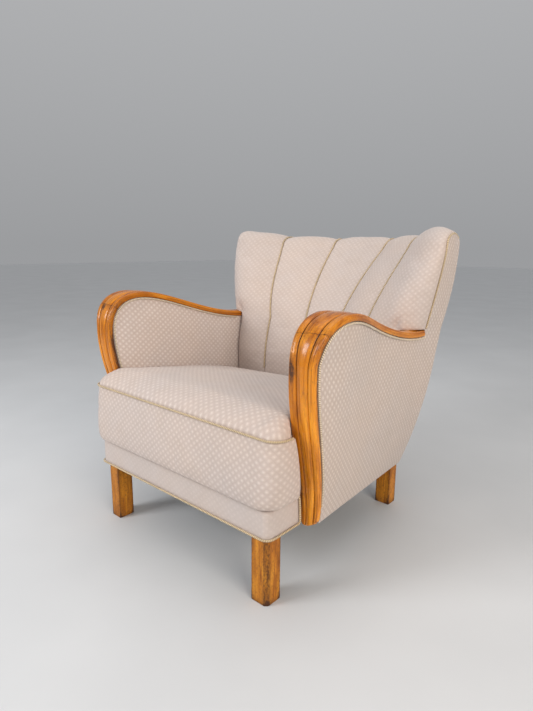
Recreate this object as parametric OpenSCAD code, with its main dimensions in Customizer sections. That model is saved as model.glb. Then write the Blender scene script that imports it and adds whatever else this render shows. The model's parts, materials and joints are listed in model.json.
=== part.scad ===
// Lounge chair: a low wing chair with a fluted back, a sprung seat and reeded
// hardwood arms. Upright position, front towards -Y, standing on its four feet.
// Left and right are the sitter's own.

/* [Seat] */
// Width over the front piping of the seat
seat_w = 664; // [640:1:680]
// Distance of the front piping ahead of the datum line that crosses the arms
seat_front = 312; // [300:1:330]
// Height of the front piping above the floor
seat_edge_h = 386; // [370:1:400]
// Thickness of the seat top at its rim, where the piping is sewn
cushion_rim = 4; // [3:0.5:8]
// How much the seat top swells above its rim
cushion_swell = 34; // [20:1:45]
// Extra crown along the middle of the seat
seat_crown = 8; // [0:1:15]
// Fall of the seat towards the back, in mm for each mm of depth
seat_rake = 0.123; // [0.06:0.001:0.15]
// Depth of the stuffing under the seat top
stuffing_t = 45; // [30:1:55]
// Height of the fold between the front border and the apron
fold_h = 229; // [217:1:242]
// How far the front border swells out
border_bulge = 15; // [4:1:18]
// Thickness of the front border at its edges
border_t = 26; // [18:1:32]
// Radius of the front corners of the seat
corner_r = 34; // [25:1:50]

/* [Apron and legs] */
// Height of the lower edge of the apron
apron_h = 163; // [148:1:178]
// Thickness of the padded apron band
apron_t = 10; // [6:0.5:14]
// Side of the square legs
leg_w = 45; // [36:1:52]
// Chamfer down the outer corner of each leg
leg_chamfer = 7; // [3:0.5:12]
// Distance from the middle to the outer face of a front leg
front_leg_x = 300; // [285:1:310]
// Distance from the middle to the outer face of a rear leg
rear_leg_x = 272; // [255:1:280]
// Position of the rear face of the rear legs, behind the datum
rear_leg_y = 325; // [300:1:345]
// How much lower the underside is at the rear than at the front
rear_drop = 41; // [25:1:50]

/* [Arms] */
// Position of the foot of the arm's front edge, forward is negative
arm_foot_y = -191; // [-210:1:-175]
// How far that foot reaches below the underside of the seat
arm_foot_drop = 5; // [2:1:10]
// How far the arm bows forward of its foot
arm_bow = 73; // [50:1:90]
// Height where the arm's front reaches furthest forward
arm_bow_h = 530; // [500:1:550]
// Height of the arm's highest point, at the edges of the wood
arm_top_h = 626; // [600:1:645]
// Distance of the highest point behind the furthest forward point
arm_top_back = 104; // [80:1:130]
// Height of the arm where it meets the back
arm_rear_h = 537; // [520:1:550]
// Position where the wood ends, under the wing
arm_rear_y = 276; // [270:1:290]
// Thickness of the arm's wood at its edges
wood_t = 12; // [9:0.5:16]
// Height of the rounded reeds above the edges of the wood
reed_h = 5; // [2:0.5:8]
// Depth of the two grooves between the reeds
groove_d = 3; // [1:0.5:4]
// How far the wood stands out beside the upholstery
wood_proud = 3; // [1:0.5:5]
// Distance from the middle to the sitter's side of the arm, at the back
arm_in_rear = 292; // [280:1:300]
// How much further out the sitter's side is at the front
arm_in_flare = 31; // [10:1:40]
// Distance from the middle to the arm's outer side, at the back
arm_out_rear = 349; // [342:1:356]
// Distance from the middle to the arm's outer side, at the front
arm_out_front = 379; // [370:1:388]
// Thickness of the padding on the sitter's side of the arm
arm_pad_t = 10; // [7:0.5:12]
// How much that padding swells
arm_pad_swell = 6; // [0:0.5:10]
// Thickness of the boards inside the arm
arm_board_t = 20; // [16:1:22]

/* [Sides and back] */
// Distance from the middle to the side's lower edge, at the front
side_foot_front = 334; // [322:1:340]
// Distance from the middle to the side's lower edge, at the rear
side_foot_rear = 276; // [275:1:290]
// Thickness of the outer upholstery
skin_t = 4; // [3:0.5:6]
// Height of the back at the welts beside the middle flute
back_h = 780; // [760:1:800]
// How much higher the wings' edges are than that
wing_rise = 16; // [5:1:25]
// How much each flute stands above the welts along the top
scallop_h = 14; // [4:1:18]
// How far each flute swells out of the back
flute_bulge = 14; // [6:1:20]
// Position of the middle of the back where it meets the seat
back_foot_y = 253; // [240:1:265]
// How far the middle of the back leans by the height of its top
back_lean = 300; // [260:1:310]
// Position of the outer flutes where they meet the seat
wing_foot_y = 206; // [195:1:220]
// How far the outer flutes lean by the height of their top
wing_lean = 96; // [80:1:110]
// Position of the wings' front edge just above the arms
wing_edge_y = 279; // [270:1:290]
// How far that edge leans back by the top
wing_edge_lean = 24; // [10:1:35]
// How much further out the wings' front edge is at the top than above the arms
wing_flare = 31; // [15:1:40]
// The same for the rear corner of the wings
wing_rear_flare = 17; // [5:1:25]
// How far the rear corner of the side leans back, in mm for each mm of height
corner_slope = 0.064; // [0.03:0.001:0.1]
// How much further back it bends beside the head
corner_lean = 38; // [20:1:60]
// Width between the welts beside the middle flute, at the seat
flute_in_w = 124; // [110:1:135]
// Width between the outer pair of welts, at the seat
flute_out_w = 356; // [335:1:370]
// How much further apart the inner pair of welts is at the top
fan_in = 80; // [40:1:100]
// How much further apart the outer pair of welts is at the top
fan_out = 130; // [80:1:150]
// Thickness of the padding over the top rail
top_pad_t = 16; // [12:1:20]
// Height of the rounded roll along the top of the back
roll_h = 26; // [18:1:32]
// Position of the rear of the back in the middle, at its top
back_rear_y = 590; // [575:1:600]

/* [Frame and springs] */
// Thickness of the seat rails
rail_t = 25; // [20:1:30]
// Height of the curved top rail
top_rail_h = 40; // [30:1:50]
// Width of the back posts, side to side
post_w = 30; // [24:1:34]
// Number of springs in each row, and of rows
spring_n = 3; // [2:1:3]
// Wire diameter of the seat springs
spring_wire = 4; // [3:0.5:5]
// Radius of a spring at its ends
spring_r = 46; // [38:1:52]
// Turns of each spring
spring_turns = 4; // [3:1:5]
// Width of the webbing straps
strap_w = 50; // [40:1:60]

/* [Trim] */
// Diameter of the piping and of the welts
piping_d = 6; // [5:0.5:8]
// Clear space left between touching soft and hard pieces
gap = 0.3; // [0.2:0.05:0.5]

/* [Hidden] */
$fn = 32;

// Colours
wood_colour = [0.72, 0.42, 0.14];
beech_colour = [0.80, 0.66, 0.46];
fabric_colour = [0.84, 0.76, 0.69];
apron_colour = [0.82, 0.74, 0.68];
piping_colour = [0.68, 0.60, 0.46];
hessian_colour = [0.62, 0.50, 0.34];
steel_colour = [0.55, 0.56, 0.58];
black_colour = [0.12, 0.12, 0.12];

// General helpers
function clamp01(t) = min(1, max(0, t));
function lerp(a, b, t) = a + (b - a) * t;
function smooth(t) = clamp01(t) * clamp01(t) * (3 - 2 * clamp01(t));
function steps(n) = [for (i = [0:n]) i / n];
function bezier(p, t) = pow(1 - t, 3) * p[0] + 3 * t * pow(1 - t, 2) * p[1]
    + 3 * t * t * (1 - t) * p[2] + pow(t, 3) * p[3];
function unit(v) = v / norm(v);

// The underside falls towards the rear
under_span = seat_front + rear_leg_y;
function underside(y) = apron_h - rear_drop * (y + seat_front) / under_span;

// Front and top line of the arm, as [y, z]: foot, bow, highest point, rear end
arm_bow_y = arm_foot_y - arm_bow;
arm_top_y = arm_bow_y + arm_top_back;
foot_pt = [arm_foot_y, underside(arm_foot_y) - arm_foot_drop];
bow_pt = [arm_bow_y, arm_bow_h];
top_pt = [arm_top_y, arm_top_h];
rear_pt = [arm_rear_y, arm_rear_h];
arm_segments = [
    [foot_pt, foot_pt + [-6, 140], bow_pt + [-3, -130], bow_pt],
    [bow_pt, bow_pt + [2, 65], top_pt - [60, 0], top_pt],
    [top_pt, top_pt + [105, 0], rear_pt + [-175, -4], rear_pt]];
function arm_line(s) = let (i = min(2, floor(s))) bezier(arm_segments[i], s - i);
function arm_dir(s) = unit(arm_line(min(3, s + 0.01)) - arm_line(max(0, s - 0.01)));
function arm_at(s, out) = let (d = arm_dir(s)) arm_line(s) + out * [-d[1], d[0]];
wood_joint_s = 1.42;
arm_s = [for (i = [0:24]) i == 11 ? wood_joint_s : i / 8];
function arm_between(s0, s1) = [s0, for (s = arm_s) if (s > s0 + 0.05 && s < s1 - 0.05) s, s1];

// Sitter's side of the arm, and the outer side with the wing above it
function inner_x(y, z) = arm_in_rear + arm_in_flare * (arm_rear_y - y) / (arm_rear_y - arm_bow_y)
    - 0.036 * max(0, arm_bow_h - z);
side_foot_y = arm_foot_y + 26;
function side_low_x(y) = lerp(side_foot_front, side_foot_rear,
    (y - side_foot_y) / (rear_leg_y - side_foot_y));
function side_top_x(y) = lerp(arm_out_rear, arm_out_front, smooth((65 - y) / 255))
    + 8 * clamp01((y - 285) / 75);
function side_rise(y, z) = clamp01((z - underside(y)) / (arm_rear_h - underside(y)));
function wing_spread(y, z) = lerp(wing_flare, wing_rear_flare, clamp01((y - 300) / 90))
    * (1 - pow(1 - clamp01((z - arm_rear_h) / 220), 1.5));
function side_x(y, z) = lerp(side_low_x(y), side_top_x(y), 1 - pow(1 - side_rise(y, z), 1.9))
    + wing_spread(y, z);

// Face of the back through its welts: the middle leans far back, the wings little
back_foot_z = 348;
wing_top_z = back_h + wing_rise;
function lean_t(z, top) = max(0, z - back_foot_z) / (top - back_foot_z);
function middle_y(z) = back_foot_y + back_lean * pow(lean_t(z, back_h), 2.1);
function outer_y(z) = wing_foot_y + wing_lean * pow(lean_t(z, wing_top_z), 1.76);
function turn_x(z) = 300 + 117 * smooth((z - 540) / 240);
function base_y(x, z) = lerp(middle_y(z), outer_y(z), smooth(abs(x) / turn_x(z)));
// Towards the wing's front edge the outer flute turns back
arm_clear_z = arm_rear_h + reed_h;
function wing_y(z) = wing_edge_y + wing_edge_lean * pow(max(0, z - arm_rear_h) / 220, 1.5);
function wing_in_x(z) = inner_x(outer_y(z), z) - gap
    - wood_proud * smooth((z - arm_rear_h + 70) / 40);
function bulge_end_x(z) = wing_in_x(z) + 32 * smooth((z - arm_clear_z) / 200);
function edge_x(z) = side_x(wing_edge_y, max(z, arm_rear_h));
function turn_back(x, z) = let (x0 = bulge_end_x(z) - 14)
    (wing_y(z) - outer_y(z)) * pow(clamp01((abs(x) - x0) / (edge_x(z) - x0)), 1.35);
function back_y(x, z) = base_y(x, z) + turn_back(x, z);

// Rear face of the back, and the rear corner where it meets the side
corner_foot_y = rear_leg_y + gap + skin_t;
function rear_t(z) = clamp01((z - apron_h + rear_drop) / (back_h - apron_h + rear_drop));
function rear_middle_y(z) = corner_foot_y + (back_rear_y - corner_foot_y) * pow(rear_t(z), 1.8);
function corner_y(z) = corner_foot_y + corner_slope * (z - apron_h + rear_drop)
    + corner_lean * smooth((z - 450) / 230);
function corner_x(z) = side_x(corner_y(z), z);
function rear_y(x, z) = lerp(rear_middle_y(z), corner_y(z), pow(abs(x) / corner_x(z), 2));

// Flutes: borders at the welts, and a rounded swell between them
function fan(z) = clamp01((z - 530) / (back_h - 530));
function wing_out_x(z) = side_x(wing_y(z), z) - skin_t - gap;
function welt_x(i, z) = i == 0 ? flute_in_w / 2 + fan_in / 2 * pow(fan(z), 1.1)
    : i == 1 ? flute_out_w / 2 + fan_out / 2 * fan(z)
    : z > arm_clear_z ? wing_out_x(z) : wing_in_x(z);
function swell(q) = pow(max(0, 1 - q * q), 0.7);
function across(x, x0, x1) = min(1, 2 * (abs(x) - x0) / (x1 - x0) - 1);
function flute_place(x, z) = abs(x) < welt_x(0, z) ? abs(x) / welt_x(0, z)
    : abs(x) < welt_x(1, z) ? across(x, welt_x(0, z), welt_x(1, z))
    : across(x, welt_x(1, z), bulge_end_x(z));
function face_y(x, z) = back_y(x, z)
    - flute_bulge * swell(flute_place(x, z)) * clamp01((z - back_foot_z + 20) / 90);
function top_z(x) = back_h + wing_rise * pow(abs(x) / 385, 1.2);
function spring_z(x) = top_z(x) - roll_h;

// The finished chair is moved so that its origin is under the middle of its box
function border_out(t) = border_bulge * pow(sin(180 * pow(t, 0.5)), 0.6) * (1 - 0.3 * t);
function border_front(t) = lerp(apron_front + 1, seat_front, pow(t, 0.6)) + border_out(t);
apron_half = front_leg_x + gap + apron_t;
apron_front = seat_front - 9 + gap + apron_t;
border_t_rows = [0, 0.06, 0.16, 0.34, 0.55, 0.78, 1];
front_y = -max(seat_front + gap + piping_d, max([for (t = border_t_rows) border_front(t)]));
mid_y = (front_y + rear_middle_y(spring_z(0))) / 2;

// Back of the padding: straight between the lower rail and the top rail
post_z0 = fold_h - gap - rear_drop;
top_rail_z = back_h - roll_h - 5;
rail_room = 5;
flute_low_z = back_foot_z - 40;
lower_rail_z = [back_foot_z - 20, back_foot_z + 30];
pad_low_z = lower_rail_z[1];
pad_low_y = rear_leg_y - 27;
function pad_back_y(x, z) = max(back_y(x, z) + 8, z > top_rail_z - top_rail_h
    ? base_y(x, z) + top_pad_t
    : lerp(pad_low_y, base_y(x, top_rail_z - top_rail_h) + top_pad_t,
        clamp01((z - pad_low_z) / (top_rail_z - top_rail_h - pad_low_z))));

// Underside of the seat top: level in front of the arms, then falling to the back
level_y = -seat_front + 60;
function seat_base_z(y) = seat_edge_h - cushion_rim - seat_rake * max(0, y - level_y);
seat_half = seat_w / 2;
hessian_t = 1.5;
strap_t = 1.5;
function web_top_z(y) = underside(y) + 5.5;
function rail_low_z(y) = web_top_z(y) + gap;
function rail_top_z(y) = fold_h - gap - rear_drop * (y + seat_front) / under_span;

// Solid between two grids of points of equal size: outer skin and inner skin
module slab(outer, inner) {
    n = len(outer);
    m = len(outer[0]);
    k = n * m;
    function quad(a, b, c, d) = [[a, b, c], [a, c, d]];
    faces = [
        for (i = [0:n - 2]) for (j = [0:m - 2]) let (a = i * m + j)
            each quad(a, a + 1, a + m + 1, a + m),
        for (i = [0:n - 2]) for (j = [0:m - 2]) let (a = k + i * m + j)
            each quad(a, a + m, a + m + 1, a + 1),
        for (i = [0:n - 2]) let (a = i * m)
            each quad(a, a + m, a + m + k, a + k),
        for (i = [0:n - 2]) let (a = i * m + m - 1)
            each quad(a, a + k, a + m + k, a + m),
        for (j = [0:m - 2])
            each quad(j, j + k, j + 1 + k, j + 1),
        for (j = [0:m - 2]) let (a = (n - 1) * m + j)
            each quad(a, a + 1, a + 1 + k, a + k)];
    points = [for (row = outer) each row, for (row = inner) each row];
    polyhedron(points, faces, convexity = 6);
}

// Solid swept through rings of points of equal size
module skin_rings(rings) {
    n = len(rings);
    m = len(rings[0]);
    faces = [
        for (i = [0:n - 2]) for (j = [0:m - 1])
            let (a = i * m + j, b = i * m + (j + 1) % m)
            each [[a, b, b + m], [a, b + m, a + m]],
        for (j = [1:m - 2]) [0, j + 1, j],
        for (j = [1:m - 2]) let (e = (n - 1) * m) [e, e + j, e + j + 1]];
    polyhedron([for (r = rings) each r], faces, convexity = 6);
}

// Round tube along a path; the reference direction is never along the path
module tube(path, r, ref, sides = 6) {
    n = len(path);
    rings = [for (i = [0:n - 1])
        let (t = unit(path[min(n - 1, i + 1)] - path[max(0, i - 1)]),
            a = unit(cross(t, ref)),
            b = cross(t, a))
        [for (k = [0:sides - 1]) let (w = 360 * k / sides)
            path[i] + r * (cos(w) * a + sin(w) * b)]];
    skin_rings(rings);
}

// The pieces are drawn from the datum line and moved to the middle of the box
module place(side = 1) {
    translate([0, -mid_y, 0])
        mirror([side < 0 ? 1 : 0, 0, 0])
            children();
}

// Legs
front_leg_y0 = -apron_front + gap + apron_t;
module leg(outer_x, y0, top, chamfer_front) {
    c = leg_chamfer;
    x0 = outer_x - leg_w;
    y1 = y0 + leg_w;
    outline = chamfer_front
        ? [[x0, y0], [outer_x - c, y0], [outer_x, y0 + c], [outer_x, y1], [x0, y1]]
        : [[x0, y0], [outer_x, y0], [outer_x, y1 - c], [outer_x - c, y1], [x0, y1]];
    color(wood_colour)
        linear_extrude(top)
            polygon(outline);
}
module front_leg(side) {
    place(side)
        leg(front_leg_x, front_leg_y0, rail_top_z(front_leg_y0), true);
}
rear_leg_y0 = rear_leg_y - leg_w;
module rear_leg(side) {
    place(side)
        leg(rear_leg_x, rear_leg_y0, post_z0, false);
}

// Seat rails
screw_r = 2.5;
module box_between(x0, x1, y0, y1, low_z, high_z) {
    translate([x0, y0, low_z])
        cube([x1 - x0, y1 - y0, high_z - low_z]);
}
front_rail_in = front_leg_y0 + rail_t;
module front_rail() {
    half = front_leg_x - leg_w;
    color(beech_colour)
        place()
            difference() {
                box_between(-half, half, front_leg_y0, front_rail_in,
                    rail_low_z(front_leg_y0), rail_top_z(front_leg_y0));
                for (side = [-1, 1]) front_screw(side);
            }
}
rear_rail_in = rear_leg_y - rail_t;
module rear_rail() {
    half = rear_leg_x - leg_w;
    color(beech_colour)
        place()
            difference() {
                box_between(-half, half, rear_rail_in, rear_leg_y,
                    rail_low_z(rear_leg_y0), post_z0);
                for (side = [-1, 1]) rear_screw(side);
            }
}
side_rail_y0 = front_leg_y0 + leg_w;
side_rail_y1 = rear_leg_y0;
function rail_out_x(y) = lerp(front_leg_x, rear_leg_x,
    (y - side_rail_y0) / (side_rail_y1 - side_rail_y0));
module side_rail_block() {
    ends = [side_rail_y0, side_rail_y1];
    function edge(y, inset) = [
        [rail_out_x(y) - inset, y, rail_low_z(y)],
        [rail_out_x(y) - inset, y, rail_top_z(y)]];
    slab([for (y = ends) edge(y, 0)], [for (y = ends) edge(y, rail_t)]);
}
module side_rail(side) {
    color(beech_colour)
        place(side)
            difference() {
                side_rail_block();
                for (z = bolt_heights) arm_bolt_hole(z);
            }
}

// Blocks in the four corners of the seat frame, each with a screw into its rail
block_w = 60;
block_low = apron_h + 14;
rear_block_low = underside(rear_leg_y) + 32;
block_h = 34;
module front_screw(side) {
    translate([side * (front_leg_x - leg_w - block_w / 2), front_leg_y0 + 8, block_low + block_h / 2])
        rotate([-90, 0, 0])
            cylinder(r = screw_r, h = rail_t + block_w / 2);
}
module rear_screw(side) {
    translate([side * (rear_leg_x - leg_w - block_w / 2), rear_leg_y - 8, rear_block_low + block_h / 2])
        rotate([90, 0, 0])
            cylinder(r = screw_r, h = rail_t + block_w / 2);
}
module front_block() {
    x0 = front_leg_x - leg_w - gap;
    y0 = front_rail_in;
    y1 = side_rail_y0 + gap;
    y2 = y1 + block_w;
    translate([0, 0, block_low])
        linear_extrude(block_h)
            polygon([[x0 - block_w, y0], [x0, y0], [x0, y1], [rail_out_x(y1) - rail_t - gap, y1],
                [rail_out_x(y2) - rail_t - gap, y2]]);
}
module rear_block() {
    x0 = rear_leg_x - leg_w - gap;
    y0 = rear_rail_in;
    y1 = side_rail_y1 - gap;
    y2 = y1 - block_w;
    translate([0, 0, rear_block_low])
        linear_extrude(block_h)
            polygon([[x0 - block_w, y0], [x0, y0], [x0, y1], [rail_out_x(y1) - rail_t - gap, y1],
                [rail_out_x(y2) - rail_t - gap, y2]]);
}
module corner_blocks() {
    color(beech_colour)
        for (side = [-1, 1])
            place(side)
                difference() {
                    union() {
                        front_block();
                        rear_block();
                    }
                    front_screw(1);
                    rear_screw(1);
                }
}
module corner_screws() {
    color(steel_colour)
        for (side = [-1, 1])
            place() {
                front_screw(side);
                rear_screw(side);
            }
}

// Posts of the back: they stand on the rear legs and splay out to the top rail
post_top_z = top_rail_z - 4;
post_d = 35;
post_foot = [rear_leg_x - leg_w / 2, rear_leg_y - post_d / 2];
post_top_x = side_x(350, post_top_z) - skin_t - post_w / 2 - 4;
top_rail_t = 20;
post_top_y = pad_back_y(post_top_x - post_w / 2 - 4, post_top_z) + rail_room + top_rail_t
    + gap + post_d / 2;
function post_t(z) = (z - post_z0) / (post_top_z - post_z0);
function back_post_x(z) = lerp(post_foot[0], post_top_x, post_t(z));
function back_post_y(z) = lerp(post_foot[1], post_top_y, post_t(z));
module back_post(side) {
    function corner(i, j, z) = [back_post_x(z) + i * post_w / 2, back_post_y(z) + j * post_d / 2, z];
    function face(j) = [for (z = [post_z0, post_top_z]) [corner(-1, j, z), corner(1, j, z)]];
    color(beech_colour)
        place(side)
            slab(face(1), face(-1));
}
// Boards inside the arm: they lie in one flat plane that leans out and toes out
arm_lean = 0.0875;
arm_toe = 0.054;
board_w = 42;
board_x0 = (arm_in_rear + arm_in_flare + arm_pad_t + arm_out_front - skin_t) / 2 - 4;
function board_x(y, z) = board_x0 - arm_lean * (arm_bow_h - z) - arm_toe * (y - arm_bow_y);
function board_pt(p, half) = [board_x(p[0], p[1]) + half, p[0], p[1]];
board_out = -wood_t - gap;
arm_board_joint_s = 1.3;
module arm_board(s_list) {
    function face(half) = [for (s = s_list)
        [board_pt(arm_at(s, board_out), half), board_pt(arm_at(s, board_out - board_w), half)]];
    slab(face(-arm_board_t / 2), face(arm_board_t / 2));
}
bolt_heights = [apron_h + 20, apron_h + 44];
bolt_r = 4;
bolt_y = arm_foot_y + wood_t + board_w / 2 - 4;
module arm_bolt_hole(z) {
    x0 = rail_out_x(bolt_y) - rail_t + 4;
    translate([x0, bolt_y, z])
        rotate([0, 90, 0])
            cylinder(r = bolt_r, h = board_x(bolt_y, z) + arm_board_t / 2 - 2 - x0);
}
module arm_post(side) {
    color(beech_colour)
        place(side)
            difference() {
                arm_board(arm_between(0.06, arm_board_joint_s - 0.0025));
                for (z = bolt_heights) arm_bolt_hole(z);
            }
}
arm_rail_y1 = back_post_y(arm_rear_h - wood_t - board_w) - post_d / 2 - gap;
module arm_rail(side) {
    function face(half) = [
        for (s = arm_between(arm_board_joint_s + 0.0025, 3))
            [board_pt(arm_at(s, board_out), half), board_pt(arm_at(s, board_out - board_w), half)],
        let (z1 = arm_rear_h + board_out)
            [board_pt([arm_rail_y1, z1], half), board_pt([arm_rail_y1, z1 - board_w], half)]];
    color(beech_colour)
        place(side)
            slab(face(-arm_board_t / 2), face(arm_board_t / 2));
}
module arm_bolts() {
    color(steel_colour)
        for (side = [-1, 1])
            place(side)
                for (z = bolt_heights)
                    arm_bolt_hole(z);
}

module back_lower_rail() {
    y0 = pad_low_y + rail_room;
    function edge(z) = back_post_x(z) - post_w / 2 - gap;
    function face(y) = [for (z = lower_rail_z) [[-edge(z), y, z], [edge(z), y, z]]];
    color(beech_colour)
        place()
            slab(face(y0 + rail_t), face(y0));
}
module back_top_rail() {
    end_x = post_top_x + post_w / 2;
    function face(t) = [for (u = steps(24)) let (x = lerp(-end_x, end_x, u))
        [for (z = [top_rail_z - top_rail_h, top_rail_z])
            [x, pad_back_y(x, z) + rail_room + t, z]]];
    color(beech_colour)
        place()
            slab(face(0), face(top_rail_t));
}

// Reeded show-wood of the arm, in two lengths that meet in a scarf over the bow
reed_cuts = [0, 0.24, 0.27, 0.72, 0.75, 1];
function reed(q, a, b, h) = h * sqrt(max(0, 1 - pow((2 * q - a - b) / (b - a), 2)));
function wood_crown(q) = q < reed_cuts[1] ? reed(q, -0.04, 0.26, reed_h - 1)
    : q < reed_cuts[2] ? 0.2
    : q < reed_cuts[3] ? reed(q, 0.26, 0.74, reed_h)
    : q < reed_cuts[4] ? 0.2
    : reed(q, 0.73, 1.04, reed_h - 1);
crown_q = [0, 0.05, 0.13, 0.21, 0.255, 0.31, 0.4, 0.5, 0.6, 0.69, 0.745, 0.79, 0.87, 0.95, 1];
function wood_in_x(s) = let (p = arm_line(s)) inner_x(p[0], p[1]) - wood_proud;
function wood_out_x(s) = let (p = arm_line(s)) side_x(p[0], p[1]) + wood_proud;
function wood_crown_row(s) = [for (q = crown_q)
    let (deep = q == 0.255 || q == 0.745 ? 1 - groove_d : 0, p = arm_at(s, wood_crown(q) + deep))
    [lerp(wood_in_x(s), wood_out_x(s), q), p[0], p[1]]];
function wood_under_row(s) = [for (q = crown_q) let (p = arm_at(s, -wood_t))
    [lerp(wood_in_x(s) + 1.5, wood_out_x(s) - 1.5, q), p[0], p[1]]];
module arm_wood(s0, s1) {
    at = arm_between(s0, s1);
    slab([for (s = at) wood_crown_row(s)], [for (s = at) wood_under_row(s)]);
}
module arm_upright(side) {
    color(wood_colour)
        place(side)
            difference() {
                arm_wood(0, wood_joint_s - 0.004);
                foot_cut();
            }
}
// The foot of the wood is cut off at a slant that rises to the outer side
module foot_cut() {
    p = arm_line(0);
    translate([inner_x(p[0], p[1]) + 12, p[0] - 40, p[1] - 60])
        rotate([0, -42, 0])
            cube([120, 90, 60]);
}
module arm_rest(side) {
    color(wood_colour)
        place(side)
            arm_wood(wood_joint_s + 0.004, 3);
}

// Webbing under the seat springs, tacked below the rails
web_y0 = front_leg_y0 + 6;
web_y1 = rear_leg_y - 6;
web_half = rear_leg_x - leg_w - 4;
strap_x = [for (i = [0:3]) lerp(-web_half + strap_w / 2, web_half - strap_w / 2, i / 3)];
strap_y = [for (i = [0:3]) lerp(side_rail_y0 + 44, side_rail_y1 - 44, i / 3)];
module strap_flat(x0, x1, y0, y1, drop) {
    function face(d) = [for (y = [y0, y1]) [for (x = [x1, x0]) [x, y, web_top_z(y) - d]]];
    slab(face(drop), face(drop + strap_t));
}
module seat_webbing() {
    color(hessian_colour)
        place() {
            for (x = strap_x)
                strap_flat(x - strap_w / 2, x + strap_w / 2, web_y0, web_y1, 0);
            for (y = strap_y)
                strap_flat(-rail_out_x(y) + 5, rail_out_x(y) - 5, y - strap_w / 2, y + strap_w / 2,
                    strap_t - 0.1);
        }
}

// Waisted coil springs between the webbing and the hessian
spring_y = [for (i = [0:spring_n - 1])
    lerp(side_rail_y0 + 75, side_rail_y1 - 75, i / (spring_n - 1))];
spring_x = [for (i = [0:spring_n - 1])
    lerp(-rear_leg_x + rail_t + spring_r + 10, rear_leg_x - rail_t - spring_r - 10,
        i / (spring_n - 1))];
spring_steps = 8;
function hessian_low_z(y) = seat_base_z(y) - gap - stuffing_t - gap - hessian_t;
function spring_low(y) = web_top_z(y) + spring_wire / 2 + gap;
function spring_high(y) = hessian_low_z(y) - spring_wire / 2 - gap;
module spring(x, y) {
    n = spring_turns * spring_steps;
    path = [for (i = [0:n]) let (t = i / n, w = 360 * spring_turns * t,
        r = spring_r * (0.68 + 0.32 * pow(2 * t - 1, 2)), y1 = y + r * sin(w))
        [x + r * cos(w), y1, lerp(spring_low(y1), spring_high(y1), t)]];
    tube(path, spring_wire / 2, [0, 0, 1], 5);
}
module seat_springs() {
    color(steel_colour)
        place()
            for (y = spring_y)
                for (x = spring_x)
                    spring(x, y);
}

// Width of the seat parts: wide in front of the arms, then between them
t_front_y0 = -seat_front + corner_r;
function arm_front_y(z) = let (t = clamp01((z - foot_pt[1]) / (bow_pt[1] - foot_pt[1])))
    bezier(arm_segments[0], t)[0] - reed_h - 1;
arm_gap_y = arm_front_y(seat_edge_h + 20) - 12;
function between_arms(y, z) = inner_x(y, z) - wood_proud - gap;
seat_rear_y = back_foot_y - gap - 1;

// Layers under the seat top, bounded by the border, the arms and the back
front_inner_y = -seat_front + border_t + gap;
layer_rows = [front_inner_y, front_inner_y + 12, level_y, level_y + 8, -100, 0, 100, wing_foot_y];
function layer_half(y) = y <= level_y
    ? seat_half - border_t - gap - max(0, front_inner_y + 12 - y)
    : between_arms(y, 300) - 1;
module layer(top_drop, t) {
    function face(d) = [for (y = layer_rows) [for (x = [1, -1])
        [x * layer_half(y), y, seat_base_z(y) - d]]];
    slab(face(top_drop), face(top_drop + t));
}
module seat_hessian() {
    color(hessian_colour)
        place()
            layer(gap + stuffing_t + gap, hessian_t);
}
module seat_stuffing() {
    color(hessian_colour)
        place()
            layer(gap, stuffing_t);
}

// Crowned seat top. It is wide in front of the arms and narrows between them
function row_half(y) = y < t_front_y0
    ? seat_half - corner_r + sqrt(max(0, pow(corner_r, 2) - pow(t_front_y0 - y, 2)))
    : y < arm_gap_y ? seat_half : between_arms(y, 380);
function row_rear(x) = min(seat_rear_y, face_y(x, back_foot_z)) - 2;
swell_reach = 62;
function cushion_top(x, y, half) =
    let (front = clamp01((y + seat_front) / swell_reach),
        side_reach = y < arm_gap_y ? swell_reach : 18,
        side = clamp01((half - abs(x)) / side_reach),
        rear = clamp01((row_rear(x) - y) / 240),
        edge = y < arm_gap_y ? 0 : 0.78,
        dome = sqrt(1 - pow(1 - front, 2)) * lerp(edge, 1, sqrt(1 - pow(1 - side, 2))),
        fall = 0.25 + 0.75 * sqrt(1 - pow(1 - rear, 2)))
    seat_base_z(y) + cushion_rim + cushion_swell * dome * fall
        + seat_crown * front * (1 - pow(x / seat_half, 2)) * rear;
cushion_y = [-seat_front, -seat_front + 5, -seat_front + 16, t_front_y0, arm_gap_y - 1,
    level_y, -180, -110, -30, 60, 130, 185, 1000];
cushion_q = [-1, -0.985, -0.94, -0.85, -0.65, -0.4, -0.15, 0.15, 0.4, 0.65, 0.85, 0.94, 0.985, 1];
module seat_cushion() {
    function pt(yy, q) = let (half = row_half(min(yy, 220)), x = q * half,
        y = yy > 220 ? row_rear(x) : min(yy, row_rear(x) - 20))
        [x, y, cushion_top(x, y, half)];
    top = [for (yy = cushion_y) [for (i = [len(cushion_q) - 1:-1:0]) pt(yy, cushion_q[i])]];
    low = [for (row = top) [for (p = row) [p[0], p[1], seat_base_z(p[1])]]];
    color(fabric_colour)
        place()
            slab(top, low);
}

// Plan line round the seat front: straight, then a corner, then back to the arm
function front_line(u, half, front, r, rear) =
    let (a = abs(u), side = max(1, rear + front - r), sgn = u < 0 ? -1 : 1)
    a < 0.5 ? [sgn * (half - r) * a / 0.5, -front]
    : a < 0.8 ? let (w = (a - 0.5) * 300)
        [sgn * (half - r + r * sin(w)), -front + r - r * cos(w)]
    : [sgn * half, -front + r + side * (a - 0.8) / 0.2];
half_u = [0.17, 0.33, 0.5, 0.56, 0.62, 0.68, 0.74, 0.8, 0.9, 1];
wrap_u = [for (i = [9:-1:0]) -half_u[i], 0, each half_u];

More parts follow.
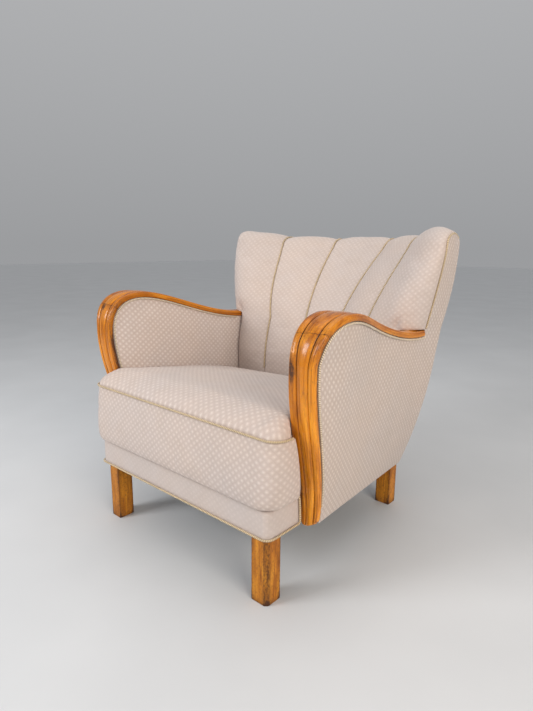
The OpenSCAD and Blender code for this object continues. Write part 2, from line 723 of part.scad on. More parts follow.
// Front border: swells between the piping and the fold
border_end_gap = 14;
apron_r = apron_t + leg_chamfer;
module front_border() {
    top = seat_edge_h - cushion_rim - gap;
    function at(u, t, depth) = let (z = lerp(fold_h + gap, top, t), out = border_out(t) - depth,
        p = front_line(u, lerp(apron_half + 1, seat_half, pow(t, 0.6)) + out,
            border_front(t) - depth, max(8, corner_r + out), arm_front_y(z) - border_end_gap))
        [p[0], p[1], z];
    function skin(depth) = [for (t = border_t_rows) [for (u = wrap_u)
        at(u, t, depth * lerp(0.6, 1, t))]];
    color(fabric_colour)
        place()
            slab(skin(border_t), skin(0));
}

// Flat padded band on the frame below the border
module apron_band() {
    rows = [apron_h, (apron_h + fold_h) / 2, fold_h];
    function at(u, z, depth) = let (p = front_line(u, apron_half - depth, apron_front - depth,
        apron_r - depth, arm_front_y(z) - gap - 2))
        [p[0], p[1], z];
    function skin(depth) = [for (z = rows) [for (u = wrap_u) at(u, z, depth)]];
    color(apron_colour)
        place()
            slab(skin(apron_t), skin(0));
}

// Piping sewn round the seat's front edge
piping_r = piping_d / 2;
module seat_piping() {
    off = piping_r + gap;
    path = [for (u = wrap_u)
        let (p = front_line(u, seat_half + off, seat_front + off, corner_r + off,
            arm_front_y(seat_edge_h) - border_end_gap))
        [p[0], p[1], seat_edge_h - cushion_rim / 2]];
    color(piping_colour)
        place()
            tube(path, piping_r, [0, 0, 1]);
}

// Piping along the apron's lower edge and up its two ends beside the arms
module apron_piping() {
    off = piping_r + gap;
    rear = arm_front_y(apron_h) - gap - 2;
    low = [for (u = wrap_u)
        let (p = front_line(u, apron_half + off, apron_front + off, apron_r + off, rear))
        [p[0], p[1], apron_h + piping_r]];
    end_x = apron_half + off;
    end = [for (z = [apron_h + piping_d + 1, fold_h + piping_r])
        [end_x, arm_front_y(z) - gap - 2 - piping_r, z]];
    color(piping_colour) {
        place()
            tube(low, piping_r, [0, 0, 1]);
        for (side = [-1, 1])
            place(side)
                tube(end, piping_r, [1, 0, 0]);
    }
}

// Padding on the sitter's side of the arm
in_s0 = 0.5;
module inner_arm(side) {
    m = 5;
    low_z = seat_base_z(arm_rear_y) - 60;
    rear_y1 = wing_foot_y + 26;
    function far(u) = [lerp(arm_at(in_s0, board_out)[0] + 8, rear_y1, pow(u, 0.8)),
        lerp(arm_at(in_s0, board_out)[1] - 10, low_z, clamp01(u * 3))];
    function near(u) = arm_at(lerp(in_s0, 3, u), board_out);
    us = [for (s = arm_between(in_s0, 3)) (s - in_s0) / (3 - in_s0)];
    function rows(depth) = [for (u = us) [for (v = steps(m))
        let (p = lerp(far(u), near(u), v), room = outer_y(max(back_foot_z, p[1])) - 4 - p[0],
            puff = arm_pad_swell * swell(2 * v - 1) * smooth(room / 80) * smooth(u * 5))
        [inner_x(p[0], p[1]) + depth - (depth == 0 ? puff : 0), p[0], p[1]]]];
    color(fabric_colour)
        place(side)
            slab(rows(0), rows(arm_pad_t));
}

// Outer side: from the underside up to the arm's wood, the wing and its top
roll_z = wing_top_z - roll_h;
function roll_curve(w, y0, y1) = [(y0 + y1) / 2 - (y1 - y0) / 2 * cos(w), roll_z + roll_h * sin(w)];
wing_top_y0 = wing_y(roll_z);
wing_top_y1 = corner_y(roll_z) - gap;
arm_u = 0.56;
edge_u = 0.82;
panel_s0 = 0.125;
function side_near(u) = u <= arm_u ? arm_at(lerp(panel_s0, 3, u / arm_u), board_out)
    : u < edge_u ? let (z = lerp(arm_clear_z, roll_z, (u - arm_u) / (edge_u - arm_u)))
        [wing_y(z) + gap, z]
    : roll_curve(170 * (u - edge_u) / (1 - edge_u), wing_top_y0 + gap, wing_top_y1);
function side_far(u) = u < 0.5
    ? let (y = lerp(side_foot_y, corner_foot_y, smooth(u / 0.5) * 0.4 + 0.6 * u / 0.5))
        [y, underside(y)]
    : let (z = lerp(underside(corner_foot_y), roll_z - 4, (u - 0.5) / 0.5))
        [corner_y(z), z];
side_us = [for (s = arm_between(panel_s0, 3)) arm_u * (s - panel_s0) / (3 - panel_s0),
    for (t = steps(4)) arm_u + 0.012 + t * (edge_u - arm_u - 0.012),
    for (i = [1:7]) edge_u + i / 7 * (1 - edge_u)];
module side_panel(side) {
    function rows(depth) = [for (u = side_us) [for (v = steps(5))
        let (p = lerp(side_far(u), side_near(u), v))
        [side_x(p[0], p[1]) - depth, p[0], p[1]]]];
    color(fabric_colour)
        place(side)
            slab(rows(skin_t), rows(0));
}

// Piping on both sides of the arm's wood
module arm_piping(side) {
    depth = -wood_t - piping_r - gap;
    out_path = [for (s = arm_between(panel_s0, 3)) let (p = arm_at(s, depth))
        [side_x(p[0], p[1]) + piping_r + 2 * gap, p[0], p[1]]];
    in_path = [for (s = arm_between(0.625, 2.87)) let (p = arm_at(s, depth))
        [inner_x(p[0], p[1]) - piping_r - gap, p[0], p[1]]];
    color(piping_colour)
        place(side) {
            tube(out_path, piping_r, [1, 0, 0]);
            tube(in_path, piping_r, [1, 0, 0]);
        }
}

// Flutes of the back: padded front, roll over the top, short turn-down behind
mid_q = [-1, -0.8, -0.45, 0, 0.45, 0.8, 1];
wing_q = [-1, -0.8, -0.45, -0.05, 0.3, 0.55, 0.75, 0.88, 0.96, 1];
function flute_q(k) = k == 0 ? [for (i = [len(wing_q) - 1:-1:0]) -wing_q[i]]
    : k == 4 ? wing_q : mid_q;
front_z = [flute_low_z, back_foot_z, pad_low_z, 430, 485, arm_clear_z - 0.5, arm_clear_z + 0.5,
    590, 650, top_rail_z - top_rail_h, top_rail_z];
roll_w = [0, 30, 60, 90, 120, 150, 180];
function flute_edge(i, z) = i < 0 ? -welt_x(-i - 1, z) : welt_x(i - 1, z);
flute_edges = [-3, -2, -1, 1, 2, 3];
scallop_part = [1.6, 0.6, 1, 0.6, 1.6];
function flute_x(k, q, z) = lerp(flute_edge(flute_edges[k], z) + gap / 2,
    flute_edge(flute_edges[k + 1], z) - gap / 2, (q + 1) / 2);
function flute_front(k, q, z) = let (x = flute_x(k, q, z)) [x, face_y(x, z), z];
function flute_back(k, q, z) = let (x = flute_x(k, q, z)) [x, pad_back_y(x, z), z];
function flute_roll(k, q, w, inset) =
    let (x = flute_x(k, q, back_h), z0 = spring_z(x),
        y0 = inset ? pad_back_y(x, z0) : face_y(x, z0),
        y1 = rear_y(x, z0) - (inset ? skin_t : 0),
        h = inset ? roll_h - 14 : roll_h + scallop_h * scallop_part[k] * swell(q))
    [x, (y0 + y1) / 2 - (y1 - y0) / 2 * cos(w), z0 + h * sin(w)];
module back_flute(k) {
    function rows(inset) = [
        for (z = front_z) [for (q = flute_q(k))
            inset ? flute_back(k, q, z) : flute_front(k, q, z)],
        for (w = roll_w) [for (q = flute_q(k))
            flute_roll(k, q, w, inset)]];
    color(fabric_colour)
        place()
            slab(rows(true), rows(false));
}

// Welts in the valleys between the flutes, from the seat over the top
module back_welts() {
    off = piping_r + gap;
    color(piping_colour)
        place()
            for (i = [-2, -1, 1, 2]) {
                path = [
                    for (z = [for (t = steps(9)) lerp(back_foot_z + 14, 735, t)])
                        let (x = flute_edge(i, z)) [x, back_y(x, z) - off, z],
                    for (w = [0:36:180])
                        let (x = flute_edge(i, back_h), z0 = spring_z(x),
                            y0 = back_y(x, z0) - off, y1 = rear_y(x, z0) + off)
                        [x, (y0 + y1) / 2 - (y1 - y0) / 2 * cos(w), z0 + (roll_h + off) * sin(w)]];
                tube(path, piping_r, [1, 0, 0]);
            }
}

// Welt along the front edge of each wing and over its top
module wing_welts() {
    off = piping_r + gap;
    color(piping_colour)
        for (side = [-1, 1])
            place(side) {
                path = [
                    for (z = [for (t = steps(9)) lerp(arm_clear_z + piping_r, roll_z, t)])
                        [side_x(wing_y(z), z) - piping_r, wing_y(z) - off, z],
                    for (w = [20:20:180])
                        let (p = roll_curve(w, wing_top_y0, wing_top_y1),
                            d = [-cos(w), sin(w)])
                        [side_x(p[0], roll_z) - piping_r, p[0] + off * d[0], p[1] + off * d[1]]];
                tube(path, piping_r, [1, 0, 0]);
            }
}

// Straps that carry the padding of the back
module back_strap(x0) {
    levels = [lower_rail_z[0] + 5, pad_low_z, top_rail_z - top_rail_h, top_rail_z - 6];
    function face(t) = [for (z = levels) [for (e = steps(4)) let (x = x0 + (e - 0.5) * strap_w)
        [x, pad_back_y(x, z) + rail_room - 4 * gap - t, z]]];
    slab(face(0), face(strap_t));
}
module back_webbing() {
    color(hessian_colour)
        place()
            for (x = [-1, 0, 1] * flute_out_w * 0.42)
                back_strap(x);
}

// Outer back: one panel from the underside to the roll
corner_gap = 2;
module outer_back() {
    low = underside(rear_leg_y) + 3;
    function rows(depth) = [for (t = steps(9)) [for (u = steps(12))
        let (q = lerp(-1, 1, u),
            x_high = q * (corner_x(roll_z - 6) - skin_t - corner_gap),
            z = lerp(low, spring_z(x_high) - gap, t),
            x = q * (corner_x(z) - skin_t - corner_gap))
        [x, rear_y(x, z) - depth, z]]];
    color(fabric_colour)
        place()
            slab(rows(skin_t), rows(0));
}

// Thin black cloth under the seat, cut round the legs
cover_t = 1;
module dust_cover() {
    leg_gap = leg_w + gap;
    rows_y = [front_leg_y0, front_leg_y0 + leg_gap, front_leg_y0 + leg_gap + 0.5,
        rear_leg_y0 - gap - 0.5, rear_leg_y0 - gap, rear_leg_y - 2];
    function half(i) = i < 2 ? front_leg_x - leg_gap
        : i < 4 ? rail_out_x(rows_y[i]) - 4
        : rear_leg_x - leg_gap;
    function face(d) = [for (i = [0:5]) [for (e = [1, -1])
        [e * half(i), rows_y[i], web_top_z(rows_y[i]) - 2 * strap_t - gap - d]]];
    color(black_colour)
        place()
            slab(face(0), face(cover_t));
}

// Domed tacks along the edges of the cover
tack_r = 4;
module dust_cover_tacks() {
    low = 2 * strap_t + 2 * gap + cover_t;
    sites = [
        for (i = [0:6]) [lerp(-1, 1, i / 6) * (front_leg_x - leg_w - 35), front_leg_y0 + 12],
        for (i = [0:6]) [lerp(-1, 1, i / 6) * (rear_leg_x - leg_w - 37), rear_leg_y - 14],
        for (i = [0:6]) for (e = [-1, 1]) let (y = lerp(side_rail_y0 + 28, side_rail_y1 - 20, i / 6))
            [e * (rail_out_x(y) - 12), y]];
    color(steel_colour)
        place()
            for (p = sites)
                translate([p[0], p[1], web_top_z(p[1]) - low - 1.2])
                    cylinder(r = tack_r, h = 1);
}

front_leg(1);  // front_leg_left
front_leg(-1);  // front_leg_right
rear_leg(1);  // rear_leg_left
rear_leg(-1);  // rear_leg_right
front_rail();
rear_rail();
side_rail(1);  // side_rail_left
side_rail(-1);  // side_rail_right
corner_blocks();
corner_screws();
arm_post(1);  // arm_post_left
arm_post(-1);  // arm_post_right
arm_rail(1);  // arm_rail_left
arm_rail(-1);  // arm_rail_right
arm_bolts();
back_post(1);  // back_post_left
back_post(-1);  // back_post_right
back_lower_rail();
back_top_rail();
arm_upright(1);  // arm_upright_left
arm_upright(-1);  // arm_upright_right
arm_rest(1);  // arm_rest_left
arm_rest(-1);  // arm_rest_right
seat_webbing();
seat_springs();
seat_hessian();
seat_stuffing();
seat_cushion();
front_border();
apron_band();
seat_piping();
apron_piping();
inner_arm(1);  // inner_arm_left
inner_arm(-1);  // inner_arm_right
side_panel(1);  // side_panel_left
side_panel(-1);  // side_panel_right
arm_piping(1);  // arm_piping_left
arm_piping(-1);  // arm_piping_right
back_webbing();
back_flute(0);  // back_flute_1
back_flute(1);  // back_flute_2
back_flute(2);  // back_flute_3
back_flute(3);  // back_flute_4
back_flute(4);  // back_flute_5
back_welts();
wing_welts();
outer_back();
dust_cover();
dust_cover_tacks();
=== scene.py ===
"""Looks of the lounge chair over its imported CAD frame: show-wood, legs, upholstery and piping.

Shapes are worked out in millimetres from the same lines as the CAD part, with the front
towards -Y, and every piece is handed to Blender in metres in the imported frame.
"""
import json
import math
import bmesh
import bpy
import numpy as np
from mathutils import Matrix, Vector


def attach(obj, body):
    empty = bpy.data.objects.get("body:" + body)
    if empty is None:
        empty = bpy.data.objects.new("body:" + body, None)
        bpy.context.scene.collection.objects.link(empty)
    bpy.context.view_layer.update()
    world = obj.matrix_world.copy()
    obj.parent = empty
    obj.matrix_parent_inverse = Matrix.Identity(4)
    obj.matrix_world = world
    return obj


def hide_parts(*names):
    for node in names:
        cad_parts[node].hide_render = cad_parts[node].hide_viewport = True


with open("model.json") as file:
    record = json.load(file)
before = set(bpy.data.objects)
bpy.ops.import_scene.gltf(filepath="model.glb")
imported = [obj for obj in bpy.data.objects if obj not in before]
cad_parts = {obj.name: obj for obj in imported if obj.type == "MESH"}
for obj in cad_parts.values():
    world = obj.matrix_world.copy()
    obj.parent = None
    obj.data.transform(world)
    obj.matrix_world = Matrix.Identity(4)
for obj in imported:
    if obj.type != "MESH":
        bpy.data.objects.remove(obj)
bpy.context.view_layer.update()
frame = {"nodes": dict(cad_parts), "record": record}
NODES = frame["nodes"]
SCENE = bpy.context.scene

# Sizes of the CAD part, in mm
MID = 122.181
SEAT_W, SEAT_FRONT, SEAT_EDGE_H = 664, 312, 386
RIM, SWELL, CROWN, RAKE = 4, 34, 8, 0.123
FOLD_H, BORDER_BULGE, BORDER_T, CORNER_R = 229, 15, 26, 34
APRON_H, APRON_T, LEG_W, LEG_CH = 163, 10, 45, 7
FRONT_LEG_X, REAR_LEG_X, REAR_LEG_Y, REAR_DROP = 300, 272, 325, 41
ARM_FOOT_Y, ARM_BOW, ARM_BOW_H, ARM_TOP_H, ARM_TOP_BACK = -191, 73, 530, 626, 104
ARM_REAR_H, ARM_REAR_Y, WOOD_T, REED_H, PROUD = 537, 276, 12, 5, 3
ARM_IN_REAR, ARM_IN_FLARE, ARM_OUT_REAR, ARM_OUT_FRONT = 292, 31, 349, 379
ARM_PAD_T, ARM_PAD_SWELL, ARM_FOOT_DROP = 10, 6, 5
SIDE_FOOT_FRONT, SIDE_FOOT_REAR, SKIN_T = 334, 276, 4
BACK_H, WING_RISE, SCALLOP_H, FLUTE_BULGE = 780, 16, 14, 14
BACK_FOOT_Y, BACK_LEAN, WING_FOOT_Y, WING_LEAN = 253, 300, 206, 96
WING_EDGE_Y, WING_EDGE_LEAN, WING_FLARE, WING_REAR_FLARE = 279, 24, 31, 17
CORNER_SLOPE, CORNER_LEAN = 0.064, 38
FLUTE_IN_W, FLUTE_OUT_W, FAN_IN, FAN_OUT = 124, 356, 80, 130
TOP_PAD_T, ROLL_H, BACK_REAR_Y = 16, 26, 590
TOP_RAIL_H, PIPING_R, GAP = 40, 3.0, 0.3
CORD_R, WELT_R = 2.6, 2.3
BACK_FOOT_Z = 348
WING_TOP_Z = BACK_H + WING_RISE
ARM_CLEAR_Z = ARM_REAR_H + REED_H
ARM_BOW_Y = ARM_FOOT_Y - ARM_BOW
CORNER_FOOT_Y = REAR_LEG_Y + GAP + SKIN_T
SEAT_HALF = SEAT_W / 2
TOP_RAIL_Z = BACK_H - ROLL_H - 5
ROLL_Z = WING_TOP_Z - ROLL_H
LEVEL_Y = -SEAT_FRONT + 60
APRON_HALF = FRONT_LEG_X + GAP + APRON_T
APRON_FRONT = SEAT_FRONT - 9 + GAP + APRON_T
APRON_R = APRON_T + LEG_CH
END_GAP = 14
BOARD_OUT = -WOOD_T - GAP
JOINT_S = 1.42
JOINT_GAP = 0.0012
CORD_OFF = PIPING_R + GAP
CORD_STEP, CORD_SIDES, CORD_TURN = 1.6, 12, 18.0
GROOVES, WOOD_W, UPRIGHT_L = (0.255, 0.745), 72, 415.0
SHOULDER, SEAT_REAR_Y, SEAT_SIDE_H = 62, 150, 380
CLOTH_FRAMES = 20
SIDES = (("left", 1), ("right", -1))

# Orders in which the corners of a quad are taken
OUTWARD, INWARD, TURNED = [0, 1, 2, 3], [3, 2, 1, 0], [0, 3, 2, 1]


# Helpers
def c01(t):
    return np.clip(t, 0.0, 1.0)


def lerp(a, b, t):
    return a + (b - a) * t


def smooth(t):
    t = c01(t)
    return t * t * (3 - 2 * t)


def arr(v):
    return np.asarray(v, float)


def fade(d, width):
    return np.exp(-arr(d) / width)


def hill(d, width):
    return np.exp(-(arr(d) / width) ** 2)


def quarter(t):
    """Rise from 0 to 1 like a quarter of a circle."""
    return np.sqrt(1 - (1 - t) ** 2)


def unit(v):
    return v / np.linalg.norm(v, axis=-1, keepdims=True)


def split2(p):
    return p[..., 0], p[..., 1]


def weave(u, v):
    """Place on the cloth or the wood, in metres, from lengths in mm."""
    return np.stack(np.broadcast_arrays(u, v), -1) / 1000


def run_length(points, axis):
    """Distance along the rows or the columns of a grid of points."""
    d = np.cumsum(np.linalg.norm(np.diff(points, axis=axis), axis=-1), axis)
    return np.insert(d, 0, 0, axis)


def stack(x, y, z):
    x, y, z = np.broadcast_arrays(arr(x), arr(y), arr(z))
    return np.stack([x, y, z], -1)


def to_m(p):
    p = arr(p).copy()
    p[..., 1] -= MID
    return p / 1000


# Lines and surfaces of the chair, as in the CAD part
def underside(y):
    return APRON_H - REAR_DROP * (arr(y) + SEAT_FRONT) / (SEAT_FRONT + REAR_LEG_Y)


FOOT = arr([ARM_FOOT_Y, float(underside(ARM_FOOT_Y)) - ARM_FOOT_DROP])
BOW = arr([ARM_BOW_Y, ARM_BOW_H])
TOP = arr([ARM_BOW_Y + ARM_TOP_BACK, ARM_TOP_H])
REAR = arr([ARM_REAR_Y, ARM_REAR_H])
ARM_SEGS = arr([
    [FOOT, FOOT + [-6, 140], BOW + [-3, -130], BOW],
    [BOW, BOW + [2, 65], TOP - [60, 0], TOP],
    [TOP, TOP + [105, 0], REAR + [-175, -4], REAR]])


def bezier(p, t):
    t = arr(t)[..., None]
    return ((1 - t) ** 3 * p[..., 0, :] + 3 * t * (1 - t) ** 2 * p[..., 1, :]
            + 3 * t * t * (1 - t) * p[..., 2, :] + t ** 3 * p[..., 3, :])


def arm_line(s):
    s = arr(s)
    i = np.clip(np.floor(s), 0, 2).astype(int)
    return bezier(ARM_SEGS[i], s - i)


def arm_dir(s):
    return unit(arm_line(np.minimum(3, arr(s) + 0.01)) - arm_line(np.maximum(0, arr(s) - 0.01)))


def arm_at(s, out):
    d = arm_dir(s)
    return arm_line(s) + arr(out)[..., None] * np.stack([-d[..., 1], d[..., 0]], -1)


def inner_x(y, z):
    return (ARM_IN_REAR + ARM_IN_FLARE * (ARM_REAR_Y - arr(y)) / (ARM_REAR_Y - ARM_BOW_Y)
            - 0.036 * np.maximum(0, ARM_BOW_H - arr(z)))


SIDE_FOOT_Y = ARM_FOOT_Y + 26


def side_x(y, z):
    y, z = arr(y), arr(z)
    low = lerp(SIDE_FOOT_FRONT, SIDE_FOOT_REAR, (y - SIDE_FOOT_Y) / (REAR_LEG_Y - SIDE_FOOT_Y))
    top = (lerp(ARM_OUT_REAR, ARM_OUT_FRONT, smooth((65 - y) / 255))
           + 8 * c01((y - 285) / 75))
    rise = c01((z - underside(y)) / (ARM_REAR_H - underside(y)))
    spread = (lerp(WING_FLARE, WING_REAR_FLARE, c01((y - 300) / 90))
              * (1 - (1 - c01((z - ARM_REAR_H) / 220)) ** 1.5))
    return lerp(low, top, 1 - (1 - rise) ** 1.9) + spread


def lean_t(z, top):
    return np.maximum(0, arr(z) - BACK_FOOT_Z) / (top - BACK_FOOT_Z)


def middle_y(z):
    return BACK_FOOT_Y + BACK_LEAN * lean_t(z, BACK_H) ** 2.1


def outer_y(z):
    return WING_FOOT_Y + WING_LEAN * lean_t(z, WING_TOP_Z) ** 1.76


def base_y(x, z):
    turn = 300 + 117 * smooth((arr(z) - 540) / 240)
    return lerp(middle_y(z), outer_y(z), smooth(np.abs(x) / turn))


def wing_y(z):
    return WING_EDGE_Y + WING_EDGE_LEAN * (np.maximum(0, arr(z) - ARM_REAR_H) / 220) ** 1.5


def wing_in_x(z):
    z = arr(z)
    return inner_x(outer_y(z), z) - GAP - PROUD * smooth((z - ARM_REAR_H + 70) / 40)


def bulge_end_x(z):
    return wing_in_x(z) + 32 * smooth((arr(z) - ARM_CLEAR_Z) / 200)


def back_y(x, z):
    x, z = arr(x), arr(z)
    x0 = bulge_end_x(z) - 14
    edge = side_x(WING_EDGE_Y, np.maximum(z, ARM_REAR_H))
    turn = (wing_y(z) - outer_y(z)) * c01((np.abs(x) - x0) / (edge - x0)) ** 1.35
    return base_y(x, z) + turn


def rear_t(z):
    return c01((arr(z) - APRON_H + REAR_DROP) / (BACK_H - APRON_H + REAR_DROP))


def corner_y(z):
    z = arr(z)
    return (CORNER_FOOT_Y + CORNER_SLOPE * (z - APRON_H + REAR_DROP)
            + CORNER_LEAN * smooth((z - 450) / 230))


def corner_x(z):
    return side_x(corner_y(z), z)


def rear_y(x, z):
    middle = CORNER_FOOT_Y + (BACK_REAR_Y - CORNER_FOOT_Y) * rear_t(z) ** 1.8
    return lerp(middle, corner_y(z), (np.abs(x) / corner_x(z)) ** 2)


def fan(z):
    return c01((arr(z) - 530) / (BACK_H - 530))


def welt_x(i, z):
    z = arr(z)
    if i == 0:
        return FLUTE_IN_W / 2 + FAN_IN / 2 * fan(z) ** 1.1
    if i == 1:
        return FLUTE_OUT_W / 2 + FAN_OUT / 2 * fan(z)
    wide = side_x(wing_y(z), z) - 0.6
    return np.where(z > ARM_CLEAR_Z, wide, wing_in_x(z))


def swell(q):
    return np.maximum(0, 1 - arr(q) ** 2) ** 0.7


def flute_place(x, z):
    a = np.abs(x)
    w0, w1 = welt_x(0, z), welt_x(1, z)
    # Over the arm the bulge goes on to the outer edge of the wing
    out = np.maximum(smooth((arr(z) - ARM_CLEAR_Z) / 70), smooth((a - wing_in_x(z) + 6) / 30))
    edge = np.maximum(welt_x(2, z), bulge_end_x(z))
    w2 = lerp(bulge_end_x(z), edge, np.where(arr(z) > ARM_CLEAR_Z, out, 0))
    one = 2 * (a - w0) / (w1 - w0) - 1
    two = np.minimum(1, 2 * (a - w1) / (w2 - w1) - 1)
    return np.where(a < w0, a / w0, np.where(a < w1, one, two))


def face_y(x, z, bulge=FLUTE_BULGE):
    return back_y(x, z) - bulge * swell(flute_place(x, z)) * c01((arr(z) - BACK_FOOT_Z + 20) / 90)


def spring_z(x):
    return BACK_H + WING_RISE * (np.abs(x) / 385) ** 1.2 - ROLL_H


def seat_base_z(y):
    return SEAT_EDGE_H - RIM - RAKE * np.maximum(0, arr(y) - LEVEL_Y)


def border_out(t):
    t = arr(t)
    return BORDER_BULGE * np.abs(np.sin(np.pi * t ** 0.5)) ** 0.6 * (1 - 0.3 * t)


def arm_front_y(z):
    t = c01((arr(z) - FOOT[1]) / (BOW[1] - FOOT[1]))
    return bezier(ARM_SEGS[0], t)[..., 0] - REED_H - 1


ARM_GAP_Y = float(arm_front_y(SEAT_EDGE_H + 20)) - 12


def between_arms(y, z):
    return inner_x(y, z) - PROUD - GAP


def front_line(u, half, front, r, rear):
    """Plan line round the seat front: straight, then a corner, then back to the arm."""
    u, half, front, r, rear = np.broadcast_arrays(*map(arr, (u, half, front, r, rear)))
    a, sgn = np.abs(u), np.where(u < 0, -1.0, 1.0)
    side = np.maximum(1, rear + front - r)
    w = np.clip((a - 0.5) / 0.3, 0, 1) * np.pi / 2
    x = np.where(a < 0.5, (half - r) * a / 0.5, half - r + r * np.sin(w))
    y = np.where(a < 0.5, -front, -front + r - r * np.cos(w))
    y = np.where(a > 0.8, -front + r + side * (a - 0.8) / 0.2, y)
    return sgn * x, y


def roll_over(y0, y1, z0, h, lean, t, fore=0.0):
    """Rounded roll from the front face, which leans, over the top and down behind."""
    y0, y1, z0, h, lean, t, fore = np.broadcast_arrays(*map(arr, (y0, y1, z0, h, lean, t, fore)))
    reach = 4 * h / 3 * (1 - 0.12 * fore)
    pts = np.stack([
        np.stack([y0, z0], -1),
        np.stack([y0 + np.minimum(lean * reach, 0.42 * (y1 - y0)), z0 + reach * (1 + 0.75 * fore)], -1),
        np.stack([y1, z0 + reach * (1 - 0.75 * fore)], -1),
        np.stack([y1, z0], -1)], -2)
    p = bezier(pts, t)
    d = unit(bezier(pts, np.minimum(1, t + 0.01)) - bezier(pts, np.maximum(0, t - 0.01)))
    return p, np.stack([-d[..., 1], d[..., 0]], -1)


# Noise that is the same in every run
def wave_noise(x, y, seed, scale, octaves=3):
    rng = np.random.default_rng(seed)
    total = np.zeros(np.broadcast(x, y).shape)
    for o in range(octaves):
        for _ in range(5):
            a = rng.uniform(0, 2 * np.pi)
            k = 2 * np.pi / scale * 2 ** o * rng.uniform(0.7, 1.3)
            total += np.sin(k * (np.cos(a) * x + np.sin(a) * y) + rng.uniform(0, 6.28)) / 2 ** o
    return total / (5 * 1.4)


# Meshes
def place_object(name, data):
    obj = bpy.data.objects.new(name, data)
    SCENE.collection.objects.link(obj)
    return obj


def new_object(name, verts, faces, uv, smooth_angle=50):
    mesh = bpy.data.meshes.new(name)
    mesh.from_pydata(verts.tolist(), [], faces)
    mesh.update()
    obj = place_object(name, mesh)
    index = np.empty(len(mesh.loops), np.int32)
    mesh.loops.foreach_get("vertex_index", index)
    layer = mesh.uv_layers.new(name="weave")
    layer.data.foreach_set("uv", np.asarray(uv, np.float32).reshape(-1, 2)[index].ravel())
    mesh.polygons.foreach_set("use_smooth", [True] * len(mesh.polygons))
    if smooth_angle:
        mesh.set_sharp_from_angle(angle=math.radians(smooth_angle))
    return obj


def set_dirt_and_shade(obj, values):
    """Give each vertex its share of darkening, which the materials read: dirt on the legs and on the arms'
    wood, painted shade on the sides and underside of the arms' wood and in the fold between the front
    border and the apron.
    """
    layer = obj.data.attributes.new(name="dark", type="FLOAT", domain="POINT")
    layer.data.foreach_set("value", np.asarray(values, np.float32).ravel())


def tube_faces(n, k, order=OUTWARD, base=0):
    """Quads round a tube of n rings with k points each, and its two end faces."""
    i, j = np.meshgrid(np.arange(n - 1), np.arange(k), indexing="ij")
    a, b = i * k + j, i * k + (j + 1) % k
    quads = np.stack([a, b, b + k, a + k], -1).reshape(-1, 4)
    ends = arr([np.arange(k)[::-1], (n - 1) * k + np.arange(k)]).astype(int)
    if order != OUTWARD:
        ends = ends[:, ::-1]
    return (quads[:, order] + base).tolist() + (ends + base).tolist()


def slab(name, outer, inner, uv, smooth_angle=50):
    """Closed piece between an outer and an inner grid of points, in mm."""
    n, m = outer.shape[:2]
    k = n * m
    verts = to_m(np.concatenate([outer.reshape(-1, 3), inner.reshape(-1, 3)]))
    g = np.arange(k).reshape(n, m)
    face = np.stack([g[:-1, :-1], g[:-1, 1:], g[1:, 1:], g[1:, :-1]], -1).reshape(-1, 4)
    quads = [face, face[:, ::-1] + k]
    for rim, order in ((g[:, 0], OUTWARD), (g[:, -1], TURNED), (g[0], TURNED), (g[-1], OUTWARD)):
        quads.append(np.stack([rim[:-1], rim[1:], rim[1:] + k, rim[:-1] + k], -1)[:, order])
    quads = np.concatenate(quads)
    p = verts[quads]
    a, b, c = (p[:, i] - p[:, 0] for i in (1, 2, 3))
    if (p.mean(1) * (np.cross(a, b) + np.cross(b, c))).sum() < 0:
        quads = quads[:, ::-1]
    return new_object(name, verts, quads.tolist(), np.concatenate([uv, uv]), smooth_angle)


def coords(obj):
    co = np.empty(len(obj.data.vertices) * 3, np.float64)
    obj.data.vertices.foreach_get("co", co)
    return co.reshape(-1, 3)


def set_coords(obj, co):
    obj.data.vertices.foreach_set("co", np.asarray(co, np.float32).ravel())
    obj.data.update()


def subdivide(obj):
    mod = obj.modifiers.new("fine", "SUBSURF")
    mod.levels = mod.render_levels = 1
    mod.boundary_smooth = "PRESERVE_CORNERS"
    graph = bpy.context.evaluated_depsgraph_get()
    mesh = bpy.data.meshes.new_from_object(obj.evaluated_get(graph), depsgraph=graph)
    mesh.name = obj.name
    coarse = obj.data
    obj.modifiers.clear()
    obj.data = mesh
    bpy.data.meshes.remove(coarse)


def join(obj, other):
    """Add the faces of another mesh to this one and remove the other object."""
    bm = bmesh.new()
    bm.from_mesh(obj.data)
    bm.from_mesh(other.data)
    bm.to_mesh(obj.data)
    bm.free()
    data = other.data
    bpy.data.objects.remove(other)
    bpy.data.meshes.remove(data)


